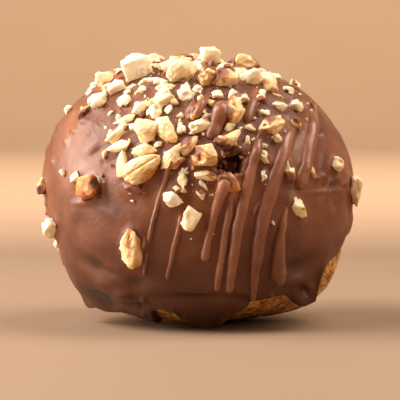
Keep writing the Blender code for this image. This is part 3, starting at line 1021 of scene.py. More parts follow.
# Crumbs that lie alone: where each is seen, and its size in mm.
SPECKS = (
    (-26.8, 42.4, 1.0), (-29.4, 37.2, 0.9), (-30.7, 34.2, 0.9), (-30.9, 21.6, 1.3), (-31.0, 23.4, 0.8),
    (-11.4, 26.0, 1.5), (-8.4, 35.2, 1.9), (-14.0, 35.9, 1.2), (-9.4, 36.2, 1.3), (-4.0, 40.0, 1.3),
    (-5.4, 39.2, 0.9), (12.8, 35.0, 1.6), (14.8, 36.4, 1.3), (4.4, 33.4, 1.5), (5.0, 30.0, 1.2),
    (7.4, 30.6, 1.1), (8.6, 32.8, 1.3), (13.0, 27.4, 1.1), (-1.6, 37.6, 1.5), (3.4, 38.2, 1.3),
    (21.2, 28.0, 1.0), (9.0, 35.0, 1.2), (10.6, 36.4, 1.4), (-17.8, 41.6, 1.7), (-16.0, 42.0, 1.3),
    (-13.6, 40.8, 1.4), (-6.4, 30.2, 1.0), (-1.6, 30.4, 1.3), (0.2, 25.3, 2.2), (2.4, 25.0, 1.2),
    (-4.6, 26.3, 1.8), (-3.2, 26.0, 1.5), (5.2, 32.5, 1.5), (6.6, 30.2, 1.4), (4.2, 31.4, 1.3),
    (5.6, 31.3, 1.0), (4.8, 29.6, 1.2), (7.6, 31.6, 1.3), (8.8, 30.4, 1.1), (9.4, 33.6, 1.2),
    (8.0, 38.4, 1.6), (15.2, 31.0, 1.1), (-28.3, 12.4, 1.5), (10.0, 38.6, 2.3), (11.4, 34.0, 1.7),
    (10.6, 32.8, 1.3), (12.8, 33.4, 1.5), (13.4, 41.6, 2.0), (6.8, 35.6, 1.5), (16.8, 38.0, 1.2),
    (1.4, 31.6, 1.4), (2.8, 28.8, 1.2), (-6.8, 33.6, 1.3), (-9.8, 33.0, 1.4), (-12.2, 34.2, 1.2),
)


@dataclass
class Seated:
    """A piece of nut in its place on the coat.

    Way is where it is, seen from the middle of the ball, and rows of axes are along, beside and
    outward.
    """

    way: np.ndarray
    place: np.ndarray
    axes: np.ndarray
    length: float
    width: float
    stands: float
    cut: Cut
    tone: float
    film: float
    upper_darkening: float


@dataclass
class Nuts:
    """The chopped nuts: those that stand out, and more that a rule strews over a leaning cap.

    Room is how far apart strewn nuts lie, over half their lengths together. Shoulder is half the
    width of the band on the right that they keep off, as a share of the ball's radius. Stands are
    heights above the coat over widths. Each nut is sunk in the coat by a share of that height, to a
    limit in mm, and skirt is how high the chocolate wets it. Those longer than kernel_from are made
    as kernels, and the others as chips. Skinned is the share with a line of brown skin.
    """

    seed: int = 37
    form_seed: int = 5
    count: int = 58
    longest: float = 5.2
    shortest: float = 2.0
    lean: float = math.radians(14)
    tip: float = math.radians(-4)
    spread: float = math.radians(42)
    room: float = 0.44
    tries: int = 60
    strewn_stands: float = 0.5
    shoulder: float = 0.24
    placed_stands: float = 0.6
    sunk: float = 0.45
    deepest: float = 1.1
    skirt: float = 0.55
    kernel_from: float = 4.6
    finest_from: float = 5.5
    coarsest_to: float = 2.0
    skinned: float = 0.3
    # Painted shade: nuts are painted darker and more golden on the side that faces this way, their lower
    # right, where shade falls.
    painted_shade_side: tuple[float, float, float] = (0.6, -0.1, -0.8)
    # The way towards which a nut is made browner, by its own amount.
    upper_darkening_side: tuple[float, float, float] = (0.2, -0.2, 1.0)
    seated: list[Seated] = field(default_factory=list)

    @staticmethod
    def seat(
        way: np.ndarray, length: float, width: float, turn: float, stands: float,
        cut: Cut, tone: float, film: float, upper_darkening: float = 0.0,
    ) -> Seated:
        """Finds how a nut lies on the coat. One in the pit lies deeper and is filmed with chocolate.

        Args:
            way: where it is, seen from the middle of the ball.
            length: its length in mm.
            width: its width.
            turn: its turn about the outward axis, in radians.
            stands: the height that it stands above the coat.
            cut: how it was broken.
            tone: how roasted it is.
            film: how much chocolate covers it.
            upper_darkening: how much browner its upper right is.

        Returns:
            The nut in its place.
        """
        place, normal = (part[0] for part in BALL.facing(way[None], COAT_OFFSET))
        sunken = PIT.share(place[None])[0]
        place = place - normal * (0.75 * PIT.depth * sunken)
        steep = abs(normal[0]) >= 0.8
        level = np.array((0, math.copysign(1, normal[0]), 0)) if steep else np.array((1.0, 0, 0))
        flat = Vector(unit(level - normal * (level @ normal)))
        along = np.array(Matrix.Rotation(turn, 3, Vector(normal)) @ flat)
        axes = np.array((along, np.cross(normal, along), normal))
        return Seated(way, place, axes, length, width, stands, cut, tone, max(film, 0.75 * sunken), upper_darkening)

    def placed(self) -> list[Seated]:
        """Seats the nuts that stand out.

        Returns:
            One for each row of NUTS.
        """
        stands = np.array([nut.stands or nut.width * self.placed_stands for nut in NUTS])
        across, up = (np.array([getattr(nut, name) for nut in NUTS]) for name in ("across", "up"))
        return [
            self.seat(
                way, nut.length, nut.width, math.radians(nut.turn), high,
                nut.cut, nut.tone, nut.film, nut.upper_darkening,
            )
            for way, high, nut in zip(BALL.sighted(across, up, 1, stands / 2), stands, NUTS)
        ]

    def strewn(self, taken: list[Seated]) -> list[Seated]:
        """Nuts that fill the room left between others, the largest first.

        Args:
            taken: the nuts that lie there already.

        Returns:
            The new nuts, less those on the right shoulder.
        """
        draw = random.Random(self.seed)
        looks = random.Random(self.seed + 1)
        lean = np.array(Matrix.Rotation(self.lean, 3, "X") @ Matrix.Rotation(self.tip, 3, "Y"))
        found: list[Seated] = []
        for index in range(self.count):
            length = self.longest + (self.shortest - self.longest) * index / (self.count - 1)
            width = length * draw.uniform(0.58, 0.85)
            for _ in range(self.tries):
                polar = self.spread * math.sqrt(draw.random())
                way = lean @ directions(draw.uniform(0, math.tau), polar)
                arm = BALL.radius(way)
                others = taken + found
                angles = np.arccos(np.clip(np.array([other.way for other in others]) @ way, -1, 1))
                needed = self.room * (length + np.array([other.length for other in others]))
                clear_of_pit = math.acos(np.clip(way @ PIT.way, -1, 1)) * arm > PIT.radius + length / 2
                if np.all(angles * arm > needed) and clear_of_pit:
                    turn = draw.uniform(-math.pi, math.pi)
                    cut = looks.choice((C, S, B, S, K))
                    tone, film = looks.uniform(0.1, 0.5), max(0, looks.gauss(0.05, 0.2))
                    high = width * self.strewn_stands
                    found.append(self.seat(way, length, width, turn, high, cut, tone, film))
                    break
        return [nut for nut in found if abs(nut.way[1]) > self.shoulder or nut.way[0] < 0]

    def specks(self) -> list[Seated]:
        """Seats the crumbs that lie alone.

        Returns:
            One for each row of SPECKS.
        """
        looks = random.Random(self.seed + 2)
        across, up, size = np.array(SPECKS).T
        return [
            self.seat(
                way, length, length * 0.75, looks.uniform(-3, 3), length * 0.5,
                S, looks.uniform(0.05, 0.5), max(0, looks.gauss(0, 0.3)),
            )
            for way, length in zip(BALL.sighted(across, up, 1, size / 4), size)
        ]

    def lay_out(self) -> None:
        """Finds the place of every nut."""
        placed = self.placed()
        self.seated += placed + self.strewn(placed) + self.specks()

    @staticmethod
    def faceted(cut: Cut, ways: np.ndarray, draw: random.Random) -> np.ndarray:
        """A form cut by flat facets.

        Args:
            cut: how many facets, and how crisp.
            ways: directions of its points.
            draw: where its unevenness comes from.

        Returns:
            The distance of each point from the middle.
        """
        facets, crisp, *_ = cut.value
        golden = math.pi * (3 - math.sqrt(5))
        turns = np.array([k * golden + draw.uniform(-0.5, 0.5) for k in range(facets)])
        levels = 1 - 2 * (np.arange(facets) + 0.5) / facets
        normals = directions(turns, np.arccos(levels))
        far = np.array([draw.uniform(0.66, 1.05) for _ in range(facets)])
        if cut is Cut.BLOCK:
            normals = np.vstack((normals, np.eye(3), -np.eye(3)))
            far = np.concatenate((far * 1.1, [draw.uniform(0.7, 0.88) for _ in range(6)]))
        push = np.maximum(ways @ normals.T, 1e-3) / far
        return np.sum(push**crisp, axis=1) ** (-1 / crisp)

    @staticmethod
    def bitten(reach: np.ndarray, ways: np.ndarray, draw: random.Random) -> np.ndarray:
        """A form with one round bite taken out of it.

        Args:
            reach: the distance of each point from the middle.
            ways: their directions.
            draw: where the bite's place and size come from.

        Returns:
            The new distances.
        """
        axis = directions(np.array(draw.uniform(0, math.tau)), np.array(math.acos(draw.uniform(-0.3, 0.9))))
        away, size = draw.uniform(0.95, 1.15), draw.uniform(0.3, 0.55)
        along = (ways @ axis) * away
        within = along**2 - away**2 + size**2
        left = along - np.sqrt(np.maximum(within, 0))
        return np.where((within > 0) & (along > 0), np.minimum(reach, left), reach)

    @staticmethod
    def body(cut: Cut, ways: np.ndarray, draw: random.Random) -> tuple[np.ndarray, np.ndarray]:
        """One piece of nut.

        Args:
            cut: how it was broken.
            ways: directions of its points.
            draw: where its unevenness comes from.

        Returns:
            Points that just fill a box from -0.5 to 0.5, and their roughness, negative in creases.
        """
        facets, _, bites, bend = cut.value
        seed = draw.randrange(1000)
        reach = Nuts.faceted(cut, ways, draw) if facets else np.ones(len(ways))
        for _ in range(bites):
            reach = Nuts.bitten(reach, ways, draw)
        points = ways * reach[:, None]
        if cut is Cut.HALF:
            points[:, 1:] *= 1 - 0.22 * points[:, :1]
            crease = points[:, 1] + 0.05 - 0.12 * np.sin(2.2 * points[:, 0])
            groove = 0.17 * np.exp(-((crease / 0.09) ** 2)) * (ways[:, 2] > 0)
            points -= ways * groove[:, None]
        points[:, 1] += bend * points[:, 0] ** 2
        ridges = 0.5 - np.abs(lumpy(points, 0.42, seed + 3))
        rough = 0.12 * lumpy(points, 0.7, seed) + 0.10 * ridges
        rough += layered(points, ((0.06, 0.2, seed + 9), (0.03, 0.09, seed + 12)))
        points += ways * rough[:, None]
        low, high = points.min(axis=0), points.max(axis=0)
        return (points - low) / (high - low) - 0.5, rough

    def piece(self, number: int, seat: Seated, draw: random.Random) -> tuple[np.ndarray, ...]:
        """One nut on the coat.

        Args:
            number: picks its mottling.
            seat: its place, size and looks.
            draw: where its unevenness comes from.

        Returns:
            Its points and faces, how roasted it is at each point with its painted shade added in, and how
            filmed.
        """
        ways, faces = spokes(3 + (seat.length > self.coarsest_to) + (seat.length > self.finest_from))
        height = seat.stands + min(seat.stands * self.sunk, self.deepest)
        box, rough = self.body(seat.cut, ways, draw)
        form = box * (seat.length, seat.width, height)
        form[:, 2] += seat.stands - height / 2
        points = seat.place + form @ seat.axes
        turned = box @ seat.axes
        # Painted shade: how far each point faces the lower right side, where shade falls.
        painted_shade = 2 * turned @ unit(np.array(self.painted_shade_side))
        # How far each point lies towards the upper right, where the nut is made browner.
        towards_upper_side = turned @ unit(np.array(self.upper_darkening_side))
        tone = layered(points, ((0.12, 1.8, number), (0.08, 0.6, number + 50)), seat.tone)
        # Painted shade: the lower right and the creases get a darker, more golden tone.
        tone += 0.05 + 0.16 * painted_shade - 1.3 * rough + seat.upper_darkening * 2 * towards_upper_side
        side = directions(np.array(draw.uniform(0, math.tau)), np.array(draw.uniform(0.7, 1.4)))
        over = 2 * box @ side
        cover = 0.45 + 0.6 * (over - 1 + 2 * seat.film) + 0.3 * lumpy(points, 1.3, number + 400)
        cover = np.where(seat.film > 0, cover, 0)
        skin = draw.random() < self.skinned and seat.tone < 0.5 and seat.cut is not Cut.HALF
        tone += skin * 0.5 * np.exp(-(((over - 0.3) / 0.16) ** 2)) * (box[:, 0] > 0)
        wet = 1 - eased((form[:, 2] - 0.1) / (self.skirt * (1 + 0.8 * lumpy(points, 1.2, number))))
        return points, faces, tone, np.maximum(cover, wet)

    def build(self) -> tuple[list[bpy.types.Object], BVHTree]:
        """Makes every nut.

        Returns:
            The large and the small nuts, one joined mesh each, and a tree to find their surface by.
        """
        draw = random.Random(self.form_seed)
        batches = {"nut_kernels": [], "nut_chips": []}
        for number, seat in enumerate(self.seated):
            name = "nut_kernels" if seat.length > self.kernel_from else "nut_chips"
            batches[name].append(self.piece(number, seat, draw))
        pieces, corners, sides = [], [], []
        for name, batch in batches.items():
            starts = np.cumsum([0] + [len(part[0]) for part in batch[:-1]])
            points, tone, film = (np.concatenate([part[k] for part in batch]) for k in (0, 2, 3))
            faces = np.vstack([part[1] + start for part, start in zip(batch, starts)])
            pieces.append(mesh_object(name, points, faces, {"tone": tone, "film": film}))
            sides += (faces + len(corners)).tolist()
            corners += points.tolist()
        return pieces, BVHTree.FromPolygons(corners, sides)


# --- the drizzle ----------------------------------------------------------------------------------

# Each strand: side (1 front, -1 back), across and up of the head, across and up of the tail, how far
# it bows to the right, and its width at the head, the middle and the tail.
STRANDS = (
    (1, -5.8, 31.2, -11.2, 9.2, -0.8, 0.9, 1.0, 0.7),
    (1, -3.4, 22.6, -6.6, 8.4, 0.0, 0.9, 1.0, 0.8),
    (1, 5.2, 28.8, 0.9, 12.0, -0.4, 3.0, 1.6, 1.7),
    (1, 6.4, 26.2, 3.3, 6.0, 0.0, 1.6, 1.4, 1.3),
    (1, 12.6, 38.6, 5.8, 5.8, -0.9, 1.8, 2.3, 1.8),
    (1, 18.6, 38.6, 10.6, 4.0, -1.7, 2.6, 3.0, 1.0),
    (1, 12.6, 24.8, 10.4, 21.2, 0.0, 1.2, 1.0, 0.8),
    (1, 18.2, 24.8, 16.0, 7.6, -1.2, 0.8, 2.2, 3.8),
    (1, 23.2, 43.2, 19.6, 26.6, 0.5, 2.6, 2.9, 2.8),
    (1, 11.4, 46.6, 9.0, 39.6, 0.2, 1.8, 2.4, 1.8),
    (1, 5.2, 44.8, 1.8, 36.4, 0.3, 2.6, 3.2, 2.6),
    (1, 2.2, 46.6, -1.0, 40.2, 0.2, 1.4, 1.6, 1.5),
    (-1, -16.6, 44.6, -18.6, 27.0, -0.6, 1.8, 2.0, 2.2),
    (-1, -9.4, 48.2, -12.8, 17.5, -0.8, 1.8, 2.4, 1.8),
    (-1, -5.2, 48.8, -7.4, 31.0, -0.5, 1.4, 1.6, 1.8),
    (-1, 2.4, 49.0, -0.6, 21.0, -0.7, 2.0, 2.6, 2.0),
    (-1, 6.2, 48.4, 4.2, 29.5, -0.4, 1.2, 1.4, 1.7),
    (-1, 14.8, 45.6, 12.6, 25.0, -0.5, 1.7, 2.0, 1.8),
)


@dataclass
class Drizzle:
    """Strands of chocolate that lie over the coat and the nuts.

    Step is the distance between points of a line in mm. Rise is a strand's height over its width, up
    to highest, and head is how long a stretch it takes to emerge from the coat.
    """

    step: float = 0.35
    rise: float = 0.5
    highest: float = 1.25
    head: float = 5.5
    emerging: float = 0.92
    blunt: float = 0.12
    sway: float = 0.22
    sway_size: float = 4.0
    uneven: float = 0.12
    uneven_size: float = 2.6
    fillings: int = 6
    smoothings: int = 5
    sides: int = 18
    lines: list[tuple[np.ndarray, np.ndarray]] = field(default_factory=list)

    def laid(self, ways: np.ndarray, nuts: BVHTree) -> np.ndarray:
        """How far from the middle a strand's underside is, over the nuts where it meets them.

        Args:
            ways: unit vectors from the middle, along the strand.
            nuts: the surface of the nuts.

        Returns:
            A smoothed distance for each.
        """
        reach = BALL.radius(ways) + COAT_OFFSET
        for k, way in enumerate(ways):
            start = BALL.middle + way * BALL.half_width * 2
            hit = nuts.ray_cast(Vector(start), Vector(-way))[0]
            if hit:
                reach[k] = max(reach[k], np.linalg.norm(np.array(hit) - BALL.middle))
        for _ in range(self.fillings):
            padded = np.concatenate((reach[:1], reach, reach[-1:]))
            reach = np.maximum(reach, (padded[:-2] + padded[2:]) / 2)
        for _ in range(self.smoothings):
            padded = np.concatenate((reach[:1], reach, reach[-1:]))
            reach = (padded[:-2] + 2 * reach + padded[2:]) / 4
        return reach

    def drape(self, nuts: BVHTree) -> None:
        """Finds the line and the radius of each strand.

        Args:
            nuts: the surface of the nuts.
        """
        for number, strand in enumerate(STRANDS):
            side, head_across, head_up, tail_across, tail_up, bow, head, waist, tail = strand
            span = math.hypot(tail_across - head_across, tail_up - head_up)
            share = np.linspace(0, 1, round(span / self.step) + 1)
            spots = np.outer(share, (0, 0, span))
            sway = self.sway * lumpy(spots, self.sway_size, number + 20) * np.sin(math.pi * share)
            across = head_across + (tail_across - head_across) * share + 4 * bow * share * (1 - share)
            ways = BALL.sighted(across + sway, head_up + (tail_up - head_up) * share, side)
            reach = self.laid(ways, nuts)
            width = through(share, head, waist, tail)
            width = width * (1 + self.uneven * lumpy(spots, self.uneven_size, number + 60))
            from_end = np.minimum(share, 1 - share) * span / (width / 2)
            width *= np.sqrt(1 - (1 - np.clip(from_end, self.blunt, 1)) ** 2)
            high = np.minimum(width * self.rise, self.highest)
            radius = (width**2 / 4 + high**2) / (2 * high)
            emerging = self.emerging * high * (1 - eased(share * span / self.head))
            spine = BALL.middle + ways * (reach + high - radius - emerging)[:, None]
            self.lines.append((spine, radius))

    def host(self) -> bpy.types.Object:
        """Makes the lines that the cords follow.

        Returns:
            A mesh of edges, with the radius of the cord at each point.
        """
        points = np.vstack([spine for spine, _ in self.lines])
        mesh = bpy.data.meshes.new("strand_lines")
        edges, first = [], 0
        for spine, _ in self.lines:
            edges += [(first + k, first + k + 1) for k in range(len(spine) - 1)]
            first += len(spine)
        mesh.from_pydata((points * MM).tolist(), edges, [])
        radii = np.concatenate([radius for _, radius in self.lines]) * MM
        mesh.attributes.new("cord_radius", "FLOAT", "POINT").data.foreach_set("value", radii)
        return new_object("strand_lines", mesh)

    def build(self, chocolate: bpy.types.Material) -> bpy.types.Object:
        """Makes the strands as round cords of changing width along their lines.

        Args:
            chocolate: their material.

        Returns:
            The finished piece.
        """
        wire, given = new_growth("Strands", {
            "Sides": ("Int", self.sides),
            "Chocolate": ("Material", chocolate),
        })
        sizes = given.outputs
        curve = wire.add("GeometryNodeMeshToCurve", {"Mesh": sizes["Geometry"]})
        ring = wire.add("GeometryNodeCurvePrimitiveCircle", {"Resolution": sizes["Sides"], "Radius": 1.0})
        size = wire.add("GeometryNodeInputNamedAttribute", {"Name": "cord_radius"}, data_type="FLOAT")
        cord = wire.add("GeometryNodeCurveToMesh", {
            "Curve": curve.outputs[0], "Profile Curve": ring.outputs[0], "Scale": size.outputs[0],
            "Fill Caps": True,
        })
        return grown(wire, cord.outputs[0], sizes["Chocolate"], self.host(), "drizzle_strands")


# --- the coat -------------------------------------------------------------------------------------


# Dabs, dimples and folds of the coat's front: where each is seen, its height in mm (a hollow's is
# negative), its half length and half width, and its turn in degrees.
DABS = (
    # the lower front: a crease over the foot, with a soft bulge above it
    (-1.0, 4.7, -0.85, 7.4, 0.6, 0), (9.0, 4.2, -0.65, 3.2, 0.55, -8), (2.0, 6.8, 0.4, 9.0, 1.3, 0),
    (-1.0, 2.6, 0.3, 7.0, 1.0, 0), (13.8, 5.2, 0.6, 0.45, 1.1, 0),
    # the lower left: a hollow, a ridge, a fold and two small bumps
    (-21.6, 11.4, -1.0, 2.8, 1.5, -35), (-19.0, 7.0, 0.5, 2.6, 1.2, -25),
    (-20.8, 5.0, -1.2, 2.6, 0.9, -15), (-15.4, 5.2, 0.8, 2.0, 0.7, -20),
    (-13.0, 7.6, -0.8, 2.6, 1.5, -10), (-17.6, 9.4, -0.5, 2.2, 0.7, -30),
    (-12.8, 3.0, -0.8, 2.4, 0.6, -8), (-11.3, 4.1, 0.5, 0.45, 0.55, 0),
    (-11.0, 1.3, 0.5, 0.45, 0.45, 0), (-19.0, 3.6, -0.7, 2.6, 0.8, -25), (-8.9, 1.2, -0.6, 1.1, 1.4, 0),
    # the drip: a ridge below a hollow, and a dimple
    (19.2, 8.2, 0.8, 2.8, 0.9, 20), (19.4, 11.4, -0.8, 3.6, 1.6, 18), (20.7, 6.4, -1.2, 0.8, 0.7, 0),
    (21.9, 5.4, 1.7, 1.3, 2.0, 0),
    # a crater round the roasted nut
    (-19.9, 26.4, -0.5, 0.35, 2.0, 5), (-19.2, 26.4, 0.45, 0.5, 2.4, 5),
    (-22.3, 23.7, 0.35, 2.6, 0.6, 5),
    # the right side: a ridge, small bumps and two dimples
    (26.6, 26.0, 0.5, 3.6, 0.45, 5), (23.2, 28.4, 0.8, 0.55, 0.5, 0), (24.6, 28.9, 0.7, 0.5, 0.6, 0),
    (26.0, 28.0, 0.8, 0.5, 0.5, 0), (27.4, 28.4, 0.7, 0.45, 0.6, 0), (28.8, 27.4, 0.8, 0.5, 0.5, 0),
    (25.4, 27.0, -0.6, 1.6, 0.5, 5), (24.0, 37.4, -0.5, 0.6, 0.6, 0), (19.6, 36.8, -0.6, 2.4, 0.6, 70),
    (24.8, 33.0, 0.35, 3.0, 0.7, 80), (27.0, 35.0, 0.3, 3.0, 0.7, 75), (22.0, 34.0, -0.4, 3.0, 0.5, 80),
    (27.2, 23.2, -0.4, 0.6, 0.9, 0), (28.6, 24.8, 0.45, 0.5, 1.0, 0),
    # the left: pinholes, a curl, small lumps at the shoulder and along the edge
    (-22.4, 37.6, -0.35, 0.4, 0.4, 0), (-19.4, 31.6, -0.35, 0.4, 0.5, 0),
    (-20.9, 34.5, 0.75, 1.7, 0.38, 40), (-25.0, 38.0, 0.5, 0.7, 0.6, 40),
    (-22.8, 39.8, 0.5, 0.8, 0.5, 20), (-20.8, 39.4, 0.4, 0.6, 0.5, 0), (-26.8, 36.0, 0.45, 0.5, 0.8, 0),
    (-29.6, 31.8, 0.4, 0.4, 0.9, 0), (-28.4, 38.9, 0.45, 0.6, 0.7, 0), (-25.2, 22.0, 0.3, 2.6, 1.6, 60),
    (-17.6, 21.4, 0.3, 3.2, 1.4, -30), (-18.4, 30.0, -0.25, 2.4, 1.6, 70),
    # broken chocolate round the pit
    (8.8, 31.6, 0.8, 0.6, 0.9, 20), (7.8, 29.2, 0.7, 0.7, 0.5, 10), (4.0, 30.2, 0.5, 0.5, 0.6, 0),
    (9.0, 34.2, 0.6, 0.6, 0.7, 0), (10.6, 32.6, 0.5, 0.7, 0.5, 40), (10.0, 29.4, -0.5, 0.5, 0.6, 0),
    (3.2, 37.0, -0.7, 1.0, 0.7, 30), (-0.6, 36.8, -0.8, 1.4, 0.7, -20), (1.0, 43.4, -0.7, 1.2, 0.8, 10),
    # a bead on a strand
    (-10.8, 15.0, 1.1, 0.75, 1.05, -10),
)


@dataclass
class Coat:
    """The milk chocolate coat, a height over the ball, with a rounded lip sunk into the dough.

    The rim is azimuth, and angle down from straight up, in degrees. Runs are azimuth, spread in
    degrees, extra thickness and reach in mm. Crowding brings the points around closer together in
    front. Swells are heights, sizes and seeds of its unevenness, and heap_reach is how far from the
    middle of the heap, in degrees, it is lumpier. Roll is the height of the rolled edge, at a
    distance from the rim. Meniscus is how far the chocolate climbs the nuts, and fillet how far it
    climbs the strands, over their radius. Dents get painted shade, as dark as a set share for those
    1 mm deep or more, and the coat is never thinner than thinnest, softened over a distance.
    """

    rim: tuple[tuple[float, float], ...] = (
        (-180, 137.5), (-170, 136), (-160, 137.2), (-152, 139), (-146, 140), (-138, 140.3),
        (-133, 143), (-129, 147.5), (-122, 149.5), (-119, 143), (-114.5, 135), (-108, 133.5),
        (-103, 135), (-99, 141), (-92, 147), (-80, 147),
        (-74, 139), (-70, 134), (-66, 129), (-58, 127), (-51, 126.8), (-46, 127.8), (-42, 128.8),
        (-39.5, 128.8), (-37.5, 127), (-36, 119.5), (-34, 116.2), (-30.5, 113.8), (-27, 112),
        (-24.5, 109), (-20, 105), (-14, 102.5), (-9, 101), (4, 102), (28, 110), (50, 105), (74, 115),
        (96, 110), (120, 122), (140, 118), (160, 132),
    )
    runs: tuple[tuple[float, float, float, float], ...] = (
        (-40.5, 5, 2.4, 2.8), (-85, 12, 0.8, 3.0), (-149, 9, 0.6, 2.6), (-172, 8, 0.7, 3.0),
        (28, 9, 0.9, 3.4), (76, 10, 1.1, 3.8), (122, 9, 0.9, 3.4),
    )
    lip_length: float = 1.1
    lip_start: float = 3.6
    lip_crowding: float = 1.2
    floor_clearance: float = 0.4
    sunk: float = 0.2
    around: int = 400
    crown_rows: int = 190
    lip_rows: int = 26
    inner_rows: int = 5
    crowding: float = 0.28
    ragged: tuple[float, float] = (math.radians(0.9), 1.6)
    swells: Layers = ((0.22, 9.0, 11), (0.07, 3.2, 12))
    heap_reach: float = 34.0
    heap_lump: tuple[float, float] = (0.22, 2.2)
    heap_ridge: tuple[float, float] = (0.14, 1.2)
    roll: float = 0.45
    roll_from_rim: float = 1.6
    roll_width: float = 1.2
    meniscus: float = 0.4
    meniscus_width: float = 0.75
    fillet: float = 0.06
    fillet_reach: float = 3.5
    # Painted shade: how dark a dent 1 mm deep or more is painted.
    painted_shade: float = 0.6
    thinnest: float = 0.45
    softened: float = 0.15

    @property
    def azimuths(self) -> np.ndarray:
        """Turns of the points around, in radians from the right-hand side."""
        turn = np.linspace(0, math.tau, self.around, endpoint=False)
        return -math.pi / 2 + turn - self.crowding * np.sin(turn)

    def rim_polar(self, azimuths: np.ndarray) -> np.ndarray:
        """Where the lower edge is.

        Args:
            azimuths: turns in radians.

        Returns:
            Its angle down from straight up at each, in radians.
        """
        places, polars = np.array((*self.rim, (self.rim[0][0] + 360, self.rim[0][1]))).T
        degrees = (np.degrees(azimuths) - places[0]) % 360 + places[0]
        after = np.clip(np.searchsorted(places, degrees, side="left"), 1, len(places) - 1)
        share = eased((degrees - places[after - 1]) / (places[after] - places[after - 1]))
        return np.radians(polars[after - 1] + (polars[after] - polars[after - 1]) * share)

    def thickness(self, azimuths: np.ndarray, from_rim: np.ndarray) -> np.ndarray:
        """How thick the coat is with its thick runs, before its unevenness.

        Args:
            azimuths: turns in radians.
            from_rim: distances from the lower edge in mm.

        Returns:
            A thickness for each.
        """
        full = np.full(np.shape(from_rim), COAT_THICKNESS)
        for place, spread, extra, reach in self.runs:
            turn = (np.degrees(azimuths) - place + 180) % 360 - 180
            full = full + extra * np.exp(-((turn / spread) ** 2)) * np.exp(-((from_rim / reach) ** 2))
        return full

    @staticmethod
    def dabbed(points: np.ndarray) -> np.ndarray:
        """The dabs, dimples and folds of the front.

        Args:
            points: places on the coat, one to a row.

        Returns:
            Their height at each.
        """
        fore = np.array((0, -math.cos(EYE_ELEVATION), math.sin(EYE_ELEVATION)))
        upright = np.array((0, math.sin(EYE_ELEVATION), math.cos(EYE_ELEVATION)))
        arm = points - BALL.middle
        shrink = 1 - arm @ fore / EYE_DISTANCE
        across, up = arm[:, 0] / shrink, BALL.waist + arm @ upright / shrink
        height = np.zeros(len(points))
        for place, level, high, length, width, turn in DABS:
            turn = math.radians(turn)
            aside, above = across - place, up - level
            along = (aside * math.cos(turn) + above * math.sin(turn)) / length
            beside = (above * math.cos(turn) - aside * math.sin(turn)) / width
            height += high * np.exp(-(along**2) - beside**2)
        return height * eased((arm @ fore) / 6 + 0.5)

    def rises(self, points: np.ndarray, normals: np.ndarray, nuts: Nuts, drizzle: Drizzle) -> np.ndarray:
        """How far the chocolate climbs the nuts and the sides of the strands.

        Args:
            points: places on the coat, one to a row.
            normals: the outward normals there.
            nuts: the nuts, laid out.
            drizzle: the strands, draped.

        Returns:
            The extra height of the coat at each point.
        """
        swell = np.zeros(len(points))
        for seat in nuts.seated:
            arm = points - seat.place
            near = np.nonzero(np.sum(arm * arm, axis=1) < (seat.length / 2 + 3) ** 2)[0]
            flat = arm[near] @ seat.axes[:2].T / (seat.length / 2, seat.width / 2)
            beyond = (np.linalg.norm(flat, axis=1) - 1) * seat.width / 2
            climb = self.meniscus * np.exp(-((np.maximum(beyond + 0.3, 0) / self.meniscus_width) ** 2))
            swell[near] = np.maximum(swell[near], climb)
        spines = np.vstack([spine for spine, _ in drizzle.lines])
        radii = np.concatenate([radius for _, radius in drizzle.lines])
        tree = KDTree(len(spines))
        for k, spine in enumerate(spines):
            tree.insert(spine, k)
        tree.balance()
        for k, point in enumerate(points):
            spot, index, gap = tree.find(point)
            if gap < self.fillet_reach:
                beside = np.linalg.norm(np.cross(point - np.array(spot), normals[k]))
                swell[k] += self.fillet * radii[index] * math.exp(-((beside / (1.25 * radii[index])) ** 2))
        return swell

    def from_rim(self, arm: np.ndarray, rim: np.ndarray) -> np.ndarray:
        """How far each ring of points is from the lower edge, closest together at the lip.

        Args:
            arm: how far the edge is from the middle, for each point around.
            rim: its angle down from straight up.

        Returns:
            Distances along the skin, one row to a ring.
        """
        crown = np.linspace(0, 1, self.crown_rows + 1)[1:, None]
        from_crown = self.lip_start + (rim * arm - self.lip_start) * (1 - crown)
        quarter = np.linspace(0, math.pi / 2, self.lip_rows + 1)[1:, None]
        share = 1 - np.sin(quarter) ** self.lip_crowding
        return np.vstack((from_crown, self.lip_start * share + 0 * rim))

    def outer(self, nuts: Nuts, drizzle: Drizzle) -> tuple[np.ndarray, dict[str, np.ndarray]]:
        """The outer face.

        Args:
            nuts: the nuts, laid out.
            drizzle: the strands, draped.

        Returns:
            Its points in rings from the crown to the lip, their marks of painted shade in the pit and the
            dents, and their mark heaped.
        """
        azimuths = self.azimuths
        rim = self.rim_polar(azimuths)
        turned, size = self.ragged
        rim = rim + turned * lumpy(directions(azimuths, rim) * 20, size, 7)
        arm = BALL.radius(directions(azimuths, rim))
        from_rim = self.from_rim(arm, rim)
        ways = directions(azimuths, rim - from_rim / arm).reshape(-1, 3)
        from_rim = from_rim.reshape(-1)
        base, normals = BALL.facing(ways, COAT_OFFSET)
        body = self.thickness(np.tile(azimuths, len(from_rim) // self.around), from_rim)
        body += self.rises(base, normals, nuts, drizzle)
        body += layered(base, self.swells)
        angle = np.degrees(np.arccos(np.clip(ways @ HEAP, -1, 1)))
        heaped = np.clip(1.5 - angle / self.heap_reach, 0, 1)
        (lump, lump_size), (ridge, ridge_size) = self.heap_lump, self.heap_ridge
        ridges = 0.5 - np.abs(lumpy(base, ridge_size, 15))
        body += heaped * (lump * lumpy(base, lump_size, 14) + ridge * ridges)
        dabs = self.dabbed(base)
        body += dabs
        edge = np.exp(-(((from_rim - self.roll_from_rim) / self.roll_width) ** 2))
        body += self.roll * (0.5 + 0.6 * lumpy(base, 5.0, 13)) * edge
        over = (body - self.thinnest) / self.softened
        body = self.thinnest + np.logaddexp(0, over) * self.softened
        back = np.clip(1 - from_rim / self.lip_length, 0, 1)
